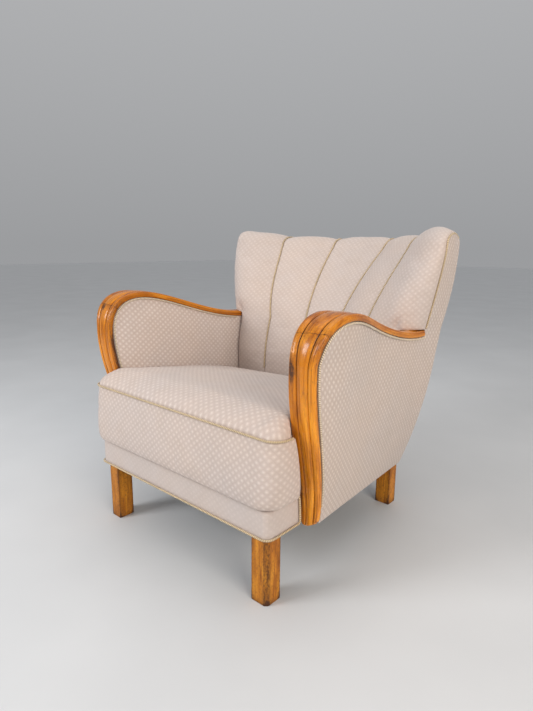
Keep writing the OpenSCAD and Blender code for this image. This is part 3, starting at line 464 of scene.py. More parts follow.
def blow_up(obj, shape, rim, cap, pressure, excess, hold, share=1.0):
    """Cloth simulation of a pad's outer side, held on its inner side and along its rim.

    rim is the number of rows and of columns over which the rim lets go, cap the longest way
    in metres that a point may go, and hold the share of its way that it goes back.
    """
    edge = [np.minimum(np.arange(n), n - 1 - np.arange(n)) / r for n, r in zip(shape, rim)]
    free = np.zeros((2, *shape))
    free[0] = c01(np.minimum(edge[0][:, None], edge[1])) * share
    weight = np.round(1 - free.ravel(), 2)
    start = coords(obj)
    pins = obj.vertex_groups.new(name="seams")
    for w in np.unique(weight[weight > 0]):
        pins.add(np.nonzero(weight == w)[0].tolist(), float(w), "REPLACE")
    mod = obj.modifiers.new("Cloth", "CLOTH")
    s = mod.settings
    s.quality = 5
    s.mass = 0.25
    s.tension_stiffness = s.compression_stiffness = 15
    s.shear_stiffness = 5
    s.bending_stiffness = 0.5
    s.air_damping = 2
    s.use_pressure = True
    s.uniform_pressure_force = pressure
    s.vertex_group_mass = "seams"
    s.shrink_min = -excess
    s.effector_weights.gravity = 0
    mod.collision_settings.use_collision = False
    mod.collision_settings.use_self_collision = False
    for span in (mod.point_cache, SCENE):
        span.frame_start, span.frame_end = 1, CLOTH_FRAMES
    for f in range(1, CLOTH_FRAMES + 1):
        SCENE.frame_set(f)
    graph = bpy.context.evaluated_depsgraph_get()
    move = coords(obj.evaluated_get(graph)) - start
    way = np.linalg.norm(move, axis=1, keepdims=True)
    move *= cap * np.tanh(way / cap) / np.maximum(way, 1e-9)
    obj.modifiers.clear()
    obj.vertex_groups.clear()
    SCENE.frame_set(1)
    set_coords(obj, start + move * (1 - hold))


def dress(obj, slot, *nodes, material=None, fill=None):
    obj.data.materials.clear()
    obj.data.materials.append(material or MATERIALS[slot])
    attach(obj, "root")
    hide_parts(*nodes)
    return obj


def cord_rings(path, r):
    """Rings of points round a cord whose cover is twisted, and their place on its cloth."""
    path = arr(path)
    d = run_length(path, 0)
    t = np.linspace(0, d[-1], max(3, int(round(d[-1] / CORD_STEP)) + 1))
    p = np.stack([np.interp(t, d, path[:, k]) for k in range(3)], -1)
    tan = unit(np.gradient(p, axis=0))
    side = np.empty_like(p)
    last = np.cross(tan[0], [0.3, 0.2, 1.0])
    for i, along in enumerate(tan):
        last = side[i] = unit(last - np.dot(last, along) * along)
    other = np.cross(tan, side)
    w = 2 * np.pi * np.arange(CORD_SIDES) / CORD_SIDES
    lay = np.abs(np.sin(1.5 * (w - 2 * np.pi * t[:, None] / CORD_TURN)))
    end = np.minimum(np.arange(len(p)), np.arange(len(p))[::-1])[:, None]
    rad = (r * (0.8 + 0.2 * lay) * np.minimum(1, end / 1.5 + 0.35))[..., None]
    ring = p[:, None] + rad * (np.cos(w)[:, None] * side[:, None] + np.sin(w)[:, None] * other[:, None])
    return ring, weave(w * r, t[:, None])


def piping(name, paths, node, r=CORD_R, material=None):
    verts, faces, uvs, base = [], [], [], 0
    for path in paths:
        ring, uv = cord_rings(path, r)
        verts.append(ring.reshape(-1, 3))
        uvs.append(uv.reshape(-1, 2))
        faces += tube_faces(len(ring), CORD_SIDES, TURNED, base)
        base += len(verts[-1])
    obj = new_object(name, to_m(np.concatenate(verts)), faces, np.concatenate(uvs), 0)
    return dress(obj, "piping", node, material=material)


# Materials
class Value:
    """Output of a node. Sums and products of it become Math nodes."""

    def __init__(self, tree, socket):
        self.tree, self.socket = tree, socket

    def __add__(self, other):
        return self.tree.math("ADD", self, other)

    def __sub__(self, other):
        return self.tree.math("SUBTRACT", self, other)

    def __mul__(self, other):
        return self.tree.math("MULTIPLY", self, other)

    def share(self, factor):
        """Product that is kept between 0 and 1."""
        return self.tree.math("MULTIPLY", self, factor, clamp=True)


class Tree:
    """Node material, or world, under construction."""

    def __init__(self, name, library=bpy.data.materials, shader="Principled BSDF"):
        self.owner = library.new(name)
        self.owner.use_nodes = True
        self.nodes = self.owner.node_tree.nodes
        self.shader = self.nodes[shader]

    def put(self, value, socket):
        if isinstance(value, Value):
            self.owner.node_tree.links.new(value.socket, socket)
        elif socket.type == "RGBA":
            socket.default_value = (*value, 1.0)
        else:
            socket.default_value = value

    def node(self, kind, out=0, inputs=(), **settings):
        """Add a node, fill its inputs and give one of its outputs."""
        n = self.nodes.new("ShaderNode" + kind)
        for key, value in settings.items():
            setattr(n, key, value)
        for key, value in dict(inputs).items():
            self.put(value, n.inputs[key])
        return Value(self, n.outputs[out])

    def math(self, op, *values, clamp=False):
        return self.node("Math", 0, enumerate(values), operation=op, use_clamp=clamp)

    def wave(self, value, length):
        return self.math("SINE", value * (2 * math.pi / length))

    def vector(self, op, *values):
        return self.node("VectorMath", 0, enumerate(values), operation=op)

    def noise(self, vector, scale, detail=3.0, rough=0.5, distortion=0.0, out="Fac"):
        """Noise with one scale, or with a scale for each axis."""
        if isinstance(scale, tuple):
            vector = self.node("Mapping", 0, {"Vector": vector, "Scale": scale})
            scale = 1.0
        return self.node("TexNoise", out, {"Vector": vector, "Scale": scale, "Detail": detail,
                                           "Roughness": rough, "Distortion": distortion})

    def ramp(self, value, *stops):
        out = self.node("ValToRGB", 0, {0: value})
        elements = out.socket.node.color_ramp.elements
        for element, (position, color) in zip(elements, (stops[0], stops[-1])):
            element.position, element.color = position, (*color, 1.0)
        for position, color in stops[1:-1]:
            elements.new(position).color = (*color, 1.0)
        return out

    def mix(self, share, a, b, mode="MIX"):
        return self.node("Mix", 2, {0: share, 6: a, 7: b}, data_type="RGBA", blend_type=mode)

    def tint(self, a, b):
        return self.mix(1.0, a, b, "MULTIPLY")

    def split(self, vector):
        n = self.node("SeparateXYZ", 0, {0: vector}).socket.node
        return [Value(self, out) for out in n.outputs]

    def bump(self, height, strength, distance, **normal):
        return self.node("Bump", 0, {"Height": height, "Strength": strength,
                                     "Distance": distance, **normal})

    def uv(self):
        return self.node("UVMap", uv_map="weave")

    def place(self):
        return self.node("TexCoord", "Object")

    def mark(self):
        return self.node("Attribute", "Fac", attribute_name="dark")

    def finish(self, **inputs):
        for key, value in inputs.items():
            self.put(value, self.shader.inputs[key.replace("_", " ")])
        return self.owner


BLACK, WHITE = (0, 0, 0), (1, 1, 1)
LOZENGE = (0.018, 0.016)
CLOTH_LIGHT = (0.860, 0.775, 0.720)
CLOTH_DARK = (0.350, 0.275, 0.240)


def cloth_material(name, base, light=CLOTH_LIGHT, dot=1.0, thread=1.0):
    """Cotton weave with small raised lozenges on a staggered lattice, and a basket of threads."""
    t = Tree(name)
    place = t.place()
    # The weave wanders a little, as woven cloth does when it is pulled over padding
    drift = t.vector("SUBTRACT", t.noise(place, 9.0, 2.0, out="Color"), (0.5, 0.5, 0.5))
    uv = t.vector("ADD", t.uv(), t.vector("MULTIPLY", drift, (0.006, 0.006, 0)))
    u, v = t.split(uv)[:2]
    a, b = u * (math.pi / LOZENGE[0]), v * (math.pi / LOZENGE[1])
    lattice = t.math("ABSOLUTE", t.math("COSINE", a + b) * t.math("COSINE", a - b))
    dots = t.math("POWER", lattice, 7.0)
    ridge = t.math("POWER", lattice, 1.2)
    # No two lozenges took up the same amount of yarn
    patchy = t.noise(uv, (110, 110, 1), 2.0) * 0.9 + 0.15
    # Warp and weft ribs cross over and under
    threads = t.wave(u, 0.0011) * t.wave(v, 0.0013)
    fuzz = t.noise(place, 900.0, 2.0)
    slub = t.noise(uv, (500, 900, 1), 2.0)
    cloud = t.noise(place, 5.0, 3.0, 0.55)
    blotch = t.noise(place, 26.0, 3.0, 0.6)
    tone = t.mix(ridge * (0.30 * dot), base, light)
    tone = t.mix((dots * patchy).share(0.62 * dot), tone, light)
    tone = t.mix((threads + 1.0) * (0.08 * thread), tone, CLOTH_DARK)
    tone = t.mix((slub - 0.42).share(0.9), tone, CLOTH_DARK)
    tone = t.mix(fuzz * 0.12, tone, CLOTH_DARK)
    tone = t.tint(tone, t.ramp(cloud, (0.35, (0.955, 0.97, 0.985)), (0.65, (1.0, 0.985, 0.965))))
    tone = t.tint(tone, t.ramp(blotch, (0.3, (0.965, 0.955, 0.94)), (0.62, WHITE)))
    # Painted shade in the fold between the front border and the apron, read from the dark attribute
    tone = t.mix(t.mark(), tone, CLOTH_DARK)
    height = ridge * (0.8 * dot) + dots * (0.5 * dot) + threads * (0.10 * thread) + fuzz * 0.12
    normal = t.bump(t.noise(place, 38.0), 0.10, 0.004, Normal=t.bump(height, 0.5, 0.0011))
    return t.finish(Base_Color=tone, Roughness=blotch * 0.16 + 0.82, Normal=normal,
                    Sheen_Weight=0.2, Sheen_Roughness=0.5, Specular_IOR_Level=0.2)


def piping_material(name, low, middle, high):
    """Beige cord cover with slanted stitches."""
    t = Tree(name)
    uv = t.uv()
    u, v = t.split(uv)[:2]
    slant = v * (2 * math.pi / 0.0045) + u * (2 * math.pi / 0.0147)
    stitch = t.math("SINE", slant) * 0.5 + 0.5
    grain = t.noise(uv, (1500, 600, 1), 2.0)
    cloud = t.noise(t.place(), 14.0)
    tone = t.ramp(stitch, (0.05, low), (0.4, middle), (0.85, high))
    tone = t.mix(grain * 0.25, tone, (0.34, 0.26, 0.14))
    tone = t.tint(tone, t.ramp(cloud, (0.3, (0.86, 0.86, 0.84)), (0.7, (1.05, 1.03, 1.0))))
    return t.finish(Base_Color=tone, Roughness=0.8, Normal=t.bump(stitch + grain * 0.4, 0.6, 0.0006),
                    Sheen_Weight=0.2, Specular_IOR_Level=0.25)


def varnish_material(name, gloss, coat, wear, dirt_and_shade_level, mottle, low, high):
    """Honey orange varnished wood: long grain, darkened grooves and stained patches."""
    t = Tree(name)
    uv = t.uv()
    mark = t.mark()
    grain = t.noise(uv, (230, 8, 1), 5.0, 0.6, 0.6)
    fine = t.noise(uv, (1500, 40, 1), 3.0, 0.6)
    flame = t.noise(uv, (30, 6, 1), 3.0, 0.55, 1.2)
    patches = t.noise(uv, (85, 30, 1), 4.0, 0.62, 0.8)
    spots = t.noise(uv, (260, 150, 1), 4.0, 0.66, 0.3)
    lone = t.noise(uv, (58, 16, 1), 4.0, 0.65, 0.4)
    tone = t.ramp(flame, (0.28, (0.36, 0.105, 0.004)), (0.46, (0.57, 0.190, 0.008)),
                  (0.72, (0.80, 0.315, 0.018)))
    tone = t.tint(tone, t.ramp(grain, (0.32, (0.50, 0.38, 0.28)), (0.47, (0.90, 0.86, 0.80)),
                               (0.7, (1.08, 1.08, 1.08))))
    tone = t.mix((fine - 0.55).share(1.1), tone, (0.20, 0.062, 0.010))
    # Dirt and old stain gather in the grooves and along the edges; the dark attribute also carries painted
    # shade on the inner edge, sides and underside of the arms' wood
    dirt_and_shade = mark + (patches - 0.54) * 1.6 + (spots - 0.5) * 2.2
    dirt_and_shade = (t.math("MAXIMUM", dirt_and_shade, 0.0) * mark).share(dirt_and_shade_level)
    tone = t.mix(dirt_and_shade, tone, (0.070, 0.024, 0.007))
    tone = t.mix(t.ramp(lone, (0.60, BLACK), (0.76, WHITE)) * wear, tone, (0.16, 0.055, 0.012))
    tone = t.mix(t.ramp(spots, (0.56, BLACK), (0.70, WHITE)) * mottle, tone, (0.13, 0.045, 0.010))
    # Painted light: the wood is tinted darker towards the top of the arms, where the lamps light it
    # strongly, and lighter low down, where it lies in shade
    painted_light_tint = t.ramp(t.split(t.place())[2], (0.36, (low, low * 1.07, low * 1.45)),
                 (0.62, (high * 0.98, high * 0.93, high)))
    rough = patches * 0.14 + gloss + dirt_and_shade * 0.25
    return t.finish(Base_Color=t.tint(tone, painted_light_tint), Roughness=rough,
                    Normal=t.bump(grain * 0.5 + patches * 0.8, 0.14, 0.0008),
                    Coat_Weight=coat, Coat_Roughness=0.11, Specular_IOR_Level=0.22)


def plain_wood_material():
    t = Tree("beech")
    place = t.place()
    grain = t.noise(place, (60, 60, 9), 5.0, 0.6, 0.4)
    fleck = t.noise(place, (700, 700, 90), 2.0)
    tone = t.ramp(grain, (0.3, (0.50, 0.33, 0.17)), (0.7, (0.72, 0.54, 0.33)))
    tone = t.mix(fleck * 0.35, tone, (0.40, 0.24, 0.11))
    return t.finish(Base_Color=tone, Roughness=0.6, Normal=t.bump(grain, 0.2, 0.001),
                    Specular_IOR_Level=0.35)


def hessian_material():
    t = Tree("hessian_weave")
    x, y, z = t.split(t.place())
    weave = t.wave(x, 0.003) * t.wave(y + z, 0.003) * 0.5 + 0.5
    tone = t.mix(weave, (0.26, 0.18, 0.09), (0.50, 0.39, 0.23))
    tone = t.mix(t.noise(t.place(), 60.0, 4.0) * 0.5, tone, (0.30, 0.22, 0.12))
    return t.finish(Base_Color=tone, Roughness=0.9, Normal=t.bump(weave, 0.5, 0.0008),
                    Specular_IOR_Level=0.15)


def steel_material():
    t = Tree("dull_steel")
    cloud = t.noise(t.place(), (90, 90, 90), 4.0)
    tone = t.ramp(cloud, (0.3, (0.26, 0.255, 0.25)), (0.7, (0.50, 0.50, 0.51)))
    return t.finish(Base_Color=tone, Roughness=cloud * 0.3 + 0.32,
                    Normal=t.bump(cloud, 0.1, 0.0005), Metallic=1.0)


def black_material():
    t = Tree("black_lining")
    x, y = t.split(t.place())[:2]
    rough = t.wave(x, 0.0016) * t.wave(y, 0.0016) + t.noise(t.place(), 12.0, 4.0)
    tone = t.mix(rough.share(0.5), (0.012, 0.012, 0.013), (0.045, 0.043, 0.040))
    return t.finish(Base_Color=tone, Roughness=0.9, Normal=t.bump(rough, 0.4, 0.0006),
                    Specular_IOR_Level=0.2)


def floor_material():
    t = Tree("pale_floor")
    cloud = t.noise(t.place(), 2.5)
    tone = t.ramp(cloud, (0.3, (0.60, 0.61, 0.62)), (0.7, (0.64, 0.65, 0.66)))
    return t.finish(Base_Color=tone, Roughness=0.55, Specular_IOR_Level=0.3,
                    Normal=t.bump(t.noise(t.place(), 180.0, 2.0), 0.03, 0.001))


MATERIALS = {
    "fabric": cloth_material("lozenge_cloth", (0.560, 0.468, 0.424)),
    "apron_fabric": cloth_material("apron_cloth", (0.592, 0.516, 0.480), dot=0.34, thread=1.3),
    "piping": piping_material("piping_cloth", (0.20, 0.13, 0.06), (0.52, 0.385, 0.22),
                              (0.80, 0.66, 0.47)),
    "show_wood": varnish_material("arm_varnish", gloss=0.19, coat=0.24, wear=0.62, dirt_and_shade_level=1.15,
                                  mottle=0.3, low=1.28, high=0.92),
    "frame_wood": plain_wood_material(),
    "hessian": hessian_material(),
    "steel": steel_material(),
    "black_cloth": black_material(),
}
BACK_CLOTH = cloth_material("lozenge_cloth_rubbed", (0.590, 0.500, 0.455), (0.85, 0.765, 0.715),
                            dot=0.72)
SIDE_CLOTH = cloth_material("side_cloth", (0.540, 0.446, 0.394), (0.93, 0.85, 0.79), dot=1.15)
# A lighter copy of the cloth for the inner sides of the arms: its lighter tones are painted light, where
# the lamps leave these sides too dark
INNER_CLOTH_PAINTED_LIGHT = cloth_material("inner_cloth_painted_light", (0.632, 0.529, 0.481), (1.0, 0.94, 0.90), dot=1.2)
# A lighter copy of the piping cloth for the arms' cords: painted light, against the shade in the recess
# between the wood and the padding
ARM_CORD_PAINTED_LIGHT = piping_material("arm_piping_cloth_painted_light", (0.30, 0.22, 0.14), (0.66, 0.54, 0.40),
                           (0.88, 0.77, 0.63))
LEG_WOOD = varnish_material("leg_varnish", gloss=0.36, coat=0.1, wear=0.5, dirt_and_shade_level=0.9,
                            mottle=0.75, low=0.93, high=0.93)

for row in frame["record"]["subparts"]:
    cad = NODES[row["node"]]
    cad.data.materials.clear()
    cad.data.materials.append(MATERIALS[row["material_slot"]])


# Reeded show-wood of the arms
def reed(q, a, b, h):
    return h * np.sqrt(np.maximum(0, 1 - ((2 * q - a - b) / (b - a)) ** 2))


def nearest(q, *places):
    return np.min([np.abs(q - p) for p in places], 0)


def wood_profile():
    """Outline round the arm's wood: share of its width, height over the arm's line, inset, and darkening:
    dirt in the grooves, painted shade on the inner edge, the sides and the underside.
    """
    q = np.concatenate([np.linspace(0.0, 0.235, 15), [0.245, 0.255, 0.265],
                        np.linspace(0.28, 0.72, 23), [0.735, 0.745, 0.755],
                        np.linspace(0.765, 1.0, 15)])
    h = np.where(q < GROOVES[0], reed(q, -0.045, 0.257, REED_H - 1),
                 np.where(q < GROOVES[1], reed(q, 0.253, 0.747, REED_H), reed(q, 0.743, 1.045, REED_H - 1)))
    # A fine line is cut along each of the two outer reeds, and their outer edges are rounded over
    groove, line = nearest(q, *GROOVES), nearest(q, 0.085, 0.915)
    h = h - 2.2 * hill(groove, 0.012) - 0.7 * hill(line, 0.014)
    h = h - 3.4 * fade(np.minimum(q, 1 - q) * WOOD_W, 1.6)
    # Dirt in the grooves and the fine lines, and painted shade along the inner edge beside the padding
    dirt_and_shade = np.minimum(1, hill(groove, 0.014) + 0.28 * hill(line, 0.014) + 0.05) + 0.45 * c01(1 - q / 0.05)
    # The outline goes on down one side, under the wood and up the other
    low = arr([-WOOD_T + 0.8, -9.5, -7.0, -4.5, -2.5, -1.0])
    side = arr([0.8, 0.25, 0.05, 0.0, 0.1, 0.5])
    inset = np.zeros(len(q))
    inset[[0, -1]] = 1.1
    # The sides grow darker towards the bottom and the underside is dark: painted shade of the recess
    # against the padding, strongest on the inner side
    return (np.concatenate([np.zeros(6), q, np.ones(6), np.linspace(0.97, 0.03, 7)]),
            np.concatenate([low, h, low[::-1], np.full(7, -WOOD_T)]),
            np.concatenate([side, inset, side[::-1], np.zeros(7)]),
            np.concatenate([[1.0, 1.0, 0.95, 0.85, 0.7, 0.5], dirt_and_shade,
                            [0.05, 0.05, 0.08, 0.15, 0.35, 0.6], np.ones(7)]))


def arm_wood(side, sgn, foot):
    """The upright length of an arm's wood with its foot, or the length over the bow."""
    q, h0, inset, dirt_and_shade = wood_profile()
    n, k = 190, len(q)
    slant = 0.030 * (q - 0.5)
    if foot:
        # The foot is cut off at a slant and its end is rounded over
        first = (19 * q ** 1.6 + 11 * c01(1 - q / 0.25) ** 2 + 6 * c01(q / 0.25 - 3) ** 2 - 2
                 + 4 * c01(-h0 / WOOD_T)) / UPRIGHT_L
        last = JOINT_S - JOINT_GAP + slant
    else:
        first, last = JOINT_S + JOINT_GAP + slant, 3.0
    s = lerp(first, last, np.linspace(0, 1, n)[:, None])
    y, z = split2(arm_line(s))
    x_in = inner_x(y, z) - PROUD
    x_out = side_x(y, z) + PROUD + 4 * (1 - smooth(s / 0.4))
    # Hand finishing leaves the reeds slightly uneven
    mm = s * 300
    h = h0 + (h0 > -1) * 0.16 * wave_noise(mm, q * 70, 11 + (sgn > 0), 60)
    if foot:
        ease = c01((s - first) * UPRIGHT_L / 8)
        h = np.where(h > -WOOD_T / 2, lerp(-WOOD_T / 2, h, quarter(ease)), h)
    # The inner reed is wider on the upright than over the bow
    bow = smooth((s - 0.9) / 0.4)
    a, b = GROOVES
    q1, q2 = lerp(0.335, 0.24, bow), lerp(0.78, 0.76, bow)
    across = np.where(q < a, q * q1 / a,
                      np.where(q < b, lerp(q1, q2, (q - a) / (b - a)), lerp(q2, 1, (q - b) / (1 - b))))
    x = lerp(x_in, x_out, across) + np.where(q < 0.5, inset, -inset)
    grid = stack(x * sgn, *split2(arm_at(s, h)))
    arc = np.cumsum(np.hypot(np.diff(q, prepend=q[0]) * WOOD_W, np.diff(h0, prepend=h0[0])))
    uv = weave(arc + 200 * (sgn > 0), mm + np.where(s > JOINT_S, 37.0, 0.0))
    # Over the bow most of the painted shade on the inner edge and side is taken off
    shoulder = smooth((s - 0.85) / 0.3)
    marks = dirt_and_shade * (1 - 0.75 * shoulder * (q < 0.06))
    # The grooves are cleaner in the lower half, and their dirt comes and goes
    clean = 0.35 + 0.65 * shoulder + 0.3 * wave_noise(mm, q * 40, 71, 60, 2)
    marks *= np.where((nearest(q, a, b) < 0.04) & (h > -0.6), np.clip(clean, 0.15, 1), 1)
    # Stain on the inner reed, over the foot, round the joint and on the hand-worn shoulder
    inner = smooth((0.27 - q) / 0.16) * (h > -4)
    marks += 0.80 * hill(s - 0.30, 0.24) * inner
    marks += (0.50 if sgn > 0 else 0.15) * hill(s - 1.02, 0.13) * inner
    marks += 0.12 * smooth((0.40 - s) / 0.4) + 0.42 * hill(s - 1.35, 0.33)
    marks += 0.35 * hill(s - JOINT_S - slant, 0.006)
    # One burnt or rubbed patch on each arm, in different places
    at_s, at_q = (0.98, 0.16) if sgn > 0 else (1.36, 0.62)
    marks += 0.55 * hill(s - at_s, 0.06) * hill(q - at_q, 0.1)
    node = f"arm_{'upright' if foot else 'rest'}_{side}"
    faces = tube_faces(n, k, INWARD if sgn > 0 else OUTWARD)
    obj = new_object(node + "_reeded", to_m(grid.reshape(-1, 3)), faces, uv, 48)
    set_dirt_and_shade(obj, np.clip(marks, 0, 1.6))
    return dress(obj, "show_wood", node)


for side, sgn in SIDES:
    arm_wood(side, sgn, True)
    arm_wood(side, sgn, False)


# Square legs with a chamfered outer corner, eased edges and rubbed feet
def leg(side, sgn, front):
    c = LEG_CH
    if front:
        node, x1, y0, top = f"front_leg_{side}", FRONT_LEG_X, FRONT_LEG_Y0, RAIL_TOP
    else:
        node, x1, y0, top = f"rear_leg_{side}", REAR_LEG_X, REAR_LEG_Y - LEG_W, FOLD_H - GAP - REAR_DROP
    x0, y1 = x1 - LEG_W, y0 + LEG_W
    corner = [[x1 - c, y0], [x1, y0 + c], [x1, y1]] if front else [[x1, y0], [x1, y1 - c], [x1 - c, y1]]
    outline = arr([[x0, y0], *corner, [x0, y1]])
    # Each corner is eased over about 1.4 mm
    ring, edge = [], []
    for i, here in enumerate(outline):
        span = outline[(i + 1) % len(outline)] - here
        back, on = unit(outline[i - 1] - here), unit(span)
        ring += [here + back * 1.5, here + (back + on) * 0.42, here + on * 1.5]
        edge += [1.0] * 3
        if np.linalg.norm(span) > 20:
            ring += [here + span * w for w in (0.12, 0.3, 0.5, 0.7, 0.88)]
            edge += [0.45, 0.06, 0.06, 0.06, 0.45]
    ring, edge = arr(ring), arr(edge)
    centre = ring.mean(0)
    z = np.concatenate([[0.0, 0.5, 1.8, 5], np.linspace(12, top, 36)])[:, None]
    shrink = np.ones(len(z))
    shrink[:3] = 0.955, 0.985, 0.998
    arc = run_length(ring, 0)
    wob = 0.35 * wave_noise(arc, z * 0.5, 30 + front + 2 * (sgn > 0), 45)
    x, y = split2((ring - centre) * shrink[:, None, None] * (1 + wob[..., None] / 40) + centre)
    faces = tube_faces(len(z), len(ring), OUTWARD if sgn > 0 else INWARD)
    uv = weave(arc + 400 * sgn + 170 * front, z)
    obj = new_object(node + "_eased", to_m(stack(x * sgn, y, z).reshape(-1, 3)), faces, uv, 40)
    foot_dirt = 0.55 * fade(z, 14) + 0.35 * fade(top - z, 30)
    set_dirt_and_shade(obj, np.clip(0.30 + 0.55 * edge + foot_dirt, 0, 1.4))
    return dress(obj, "show_wood", node, material=LEG_WOOD)


FRONT_LEG_Y0 = -APRON_FRONT + GAP + APRON_T
RAIL_TOP = FOLD_H - GAP - REAR_DROP * (FRONT_LEG_Y0 + SEAT_FRONT) / (SEAT_FRONT + REAR_LEG_Y)
for side, sgn in SIDES:
    leg(side, sgn, True)
    leg(side, sgn, False)


# Seat top
def row_rear(x):
    return np.minimum(BACK_FOOT_Y - GAP - 1, face_y(x, BACK_FOOT_Z)) - 2


def seat_top():
    y_rows = np.concatenate([
        -SEAT_FRONT + SHOULDER * (1 - np.cos(np.linspace(0, np.pi / 2, 16)[:-1])),
        np.linspace(-SEAT_FRONT + SHOULDER, SEAT_REAR_Y, 62)])
    t_rows = np.linspace(0, 1, 14)[1:, None]
    w = np.linspace(-1, 1, 93)
    q = np.sign(w) * (1 - (1 - np.abs(w)) ** 1.35)
    turn = smooth((y_rows - (ARM_GAP_Y - 1)) / (LEVEL_Y - ARM_GAP_Y + 1))
    bend = np.maximum(0, -SEAT_FRONT + CORNER_R - y_rows)
    front_half = SEAT_HALF - CORNER_R + np.sqrt(np.maximum(0, CORNER_R ** 2 - bend ** 2))
    half = lerp(front_half, between_arms(y_rows, SEAT_SIDE_H), turn)
    rear_half = between_arms(np.full(len(t_rows), 200.0), SEAT_SIDE_H)
    half = np.concatenate([half, rear_half])[:, None]
    turn = np.concatenate([turn, np.ones(len(t_rows))])[:, None]
    x = q * half
    n, m = x.shape
    y = np.concatenate([np.repeat(y_rows[:, None], m, 1),
                        lerp(SEAT_REAR_Y, row_rear(x[len(y_rows):]), t_rows)])
    front = c01((y + SEAT_FRONT) / SHOULDER)
    side = c01((half - np.abs(x)) / lerp(47, 18, turn))
    rear = c01((row_rear(x) - y) / 240)
    dome = quarter(front) * lerp(0.78 * turn, 1, quarter(side))
    z = (seat_base_z(y) + RIM + SWELL * dome * lerp(0.25, 1, quarter(rear)) * 0.985
         + CROWN * front * (1 - (x / SEAT_HALF) ** 2) * rear)
    # Slight sagging dents of a used sprung seat
    z = z + front * rear * 1.6 * wave_noise(x, y, 5, 260, 2)
    obj = slab("seat_cushion_top", stack(x, y, z), stack(x, y, seat_base_z(y)), weave(x, y * 1.03))
    blow_up(obj, (n, m), (3, 3), 0.006, pressure=1.2, excess=0.012, hold=0.3)
    subdivide(obj)
    return dress(obj, "fabric", "seat_cushion", fill=0.8)


# Front border of the seat and the apron below it
HALF_U = np.concatenate([np.linspace(0, 0.5, 75), np.linspace(0.5, 0.8, 15)[1:],
                         np.linspace(0.8, 1.0, 10)[1:]])
WRAP_U = np.concatenate([-HALF_U[:0:-1], HALF_U])


def plan_length(grid):
    """Length along the rows of a grid in plan, from their middle."""
    s = run_length(grid[..., :2], 1)
    return s - s[:, s.shape[1] // 2, None]


def push_out(grid, amount):
    """Move points outwards in plan."""
    grid[..., :2] += unit(grid[..., :2]) * amount[..., None]


def border_return(sgn):
    """The border's cloth is turned in behind the arm and closes the gap beside it."""
    z = np.linspace(APRON_H + 3, SEAT_EDGE_H - RIM - 2, 30)[:, None]
    y = arm_front_y(z) + np.linspace(-26, REED_H + 11, 9)
    x = inner_x(y, z) - PROUD - 0.4 - 0.5 * smooth(2 * np.abs(y - y.mean()) / np.ptp(y))
    return slab("border_return", stack(x * sgn, y, z), stack((x - 1.0) * sgn, y, z), weave(y, z))


def front_border():
    t = np.concatenate([[0, 0.012, 0.035], np.linspace(0.07, 0.95, 26), [0.98, 1.0]])[:, None]
    z = lerp(FOLD_H + GAP, SEAT_EDGE_H - RIM - GAP, t)
    rear = arm_front_y(z) - lerp(END_GAP + 5, 6, smooth(t))

    def skin(depth):
        out = border_out(t) - depth * lerp(0.6, 1, t)
        front = lerp(APRON_FRONT + 1, SEAT_FRONT, t ** 0.6) + out
        half = lerp(APRON_HALF + 1, SEAT_HALF, t ** 0.6) + out
        return stack(*front_line(WRAP_U, half, front, np.maximum(8, CORNER_R + out), rear), z)

    outer, inner = skin(0), skin(BORDER_T)
    # The fold at the lower edge turns under
    length = plan_length(outer)
    ripple = 0.5 * wave_noise(length, z * 0.3, 7, 46) * fade(t, 0.16)
    push_out(outer, ripple - 4.5 * fade(t, 0.03))
    obj = slab("front_border_pad", outer, inner, weave(length, z))
    blow_up(obj, length.shape, (3, 3), 0.004, pressure=1.0, excess=0.010, hold=0.35)
    # Painted shade along the fold at the lower edge of the border
    set_dirt_and_shade(obj, np.broadcast_to(0.6 * fade(t, 0.012), (2, *length.shape)))
    subdivide(obj)
    for sgn in (1, -1):
        join(obj, border_return(sgn))
    return dress(obj, "fabric", "front_border", fill=0.75)


def apron_end_y(z):
    """The band stops a little short of the arm, more so at its lower edge."""
    return arm_front_y(z) - GAP - 2 - 6 * c01((FOLD_H - arr(z)) / (FOLD_H - APRON_H))


def apron_band():
    t = np.concatenate([[0, 0.03, 0.08], np.linspace(0.15, 0.9, 10), [0.96, 1.0]])[:, None]
    z = lerp(APRON_H, FOLD_H, t)

    def skin(depth):
        return stack(*front_line(WRAP_U, APRON_HALF - depth, APRON_FRONT - depth, APRON_R - depth,
                                 apron_end_y(z)), z)

    outer, inner = skin(0), skin(APRON_T)
    length = plan_length(outer)
    ripple = 0.35 * wave_noise(length, z * 0.6, 9, 90)
    push_out(outer, ripple - 1.6 * fade(t, 0.03) - 4.5 * fade(1 - t, 0.05))
    obj = slab("apron_band_pad", outer, inner, weave(length, z))
    # Painted shade along the top of the apron, under the border's overhang
    set_dirt_and_shade(obj, np.broadcast_to(0.85 * fade(1 - t, 0.05), (2, *length.shape)))
    subdivide(obj)
    return dress(obj, "apron_fabric", "apron_band", fill=0.5)


# Padding on the sitter's side of the arms
IN_S0 = 0.5


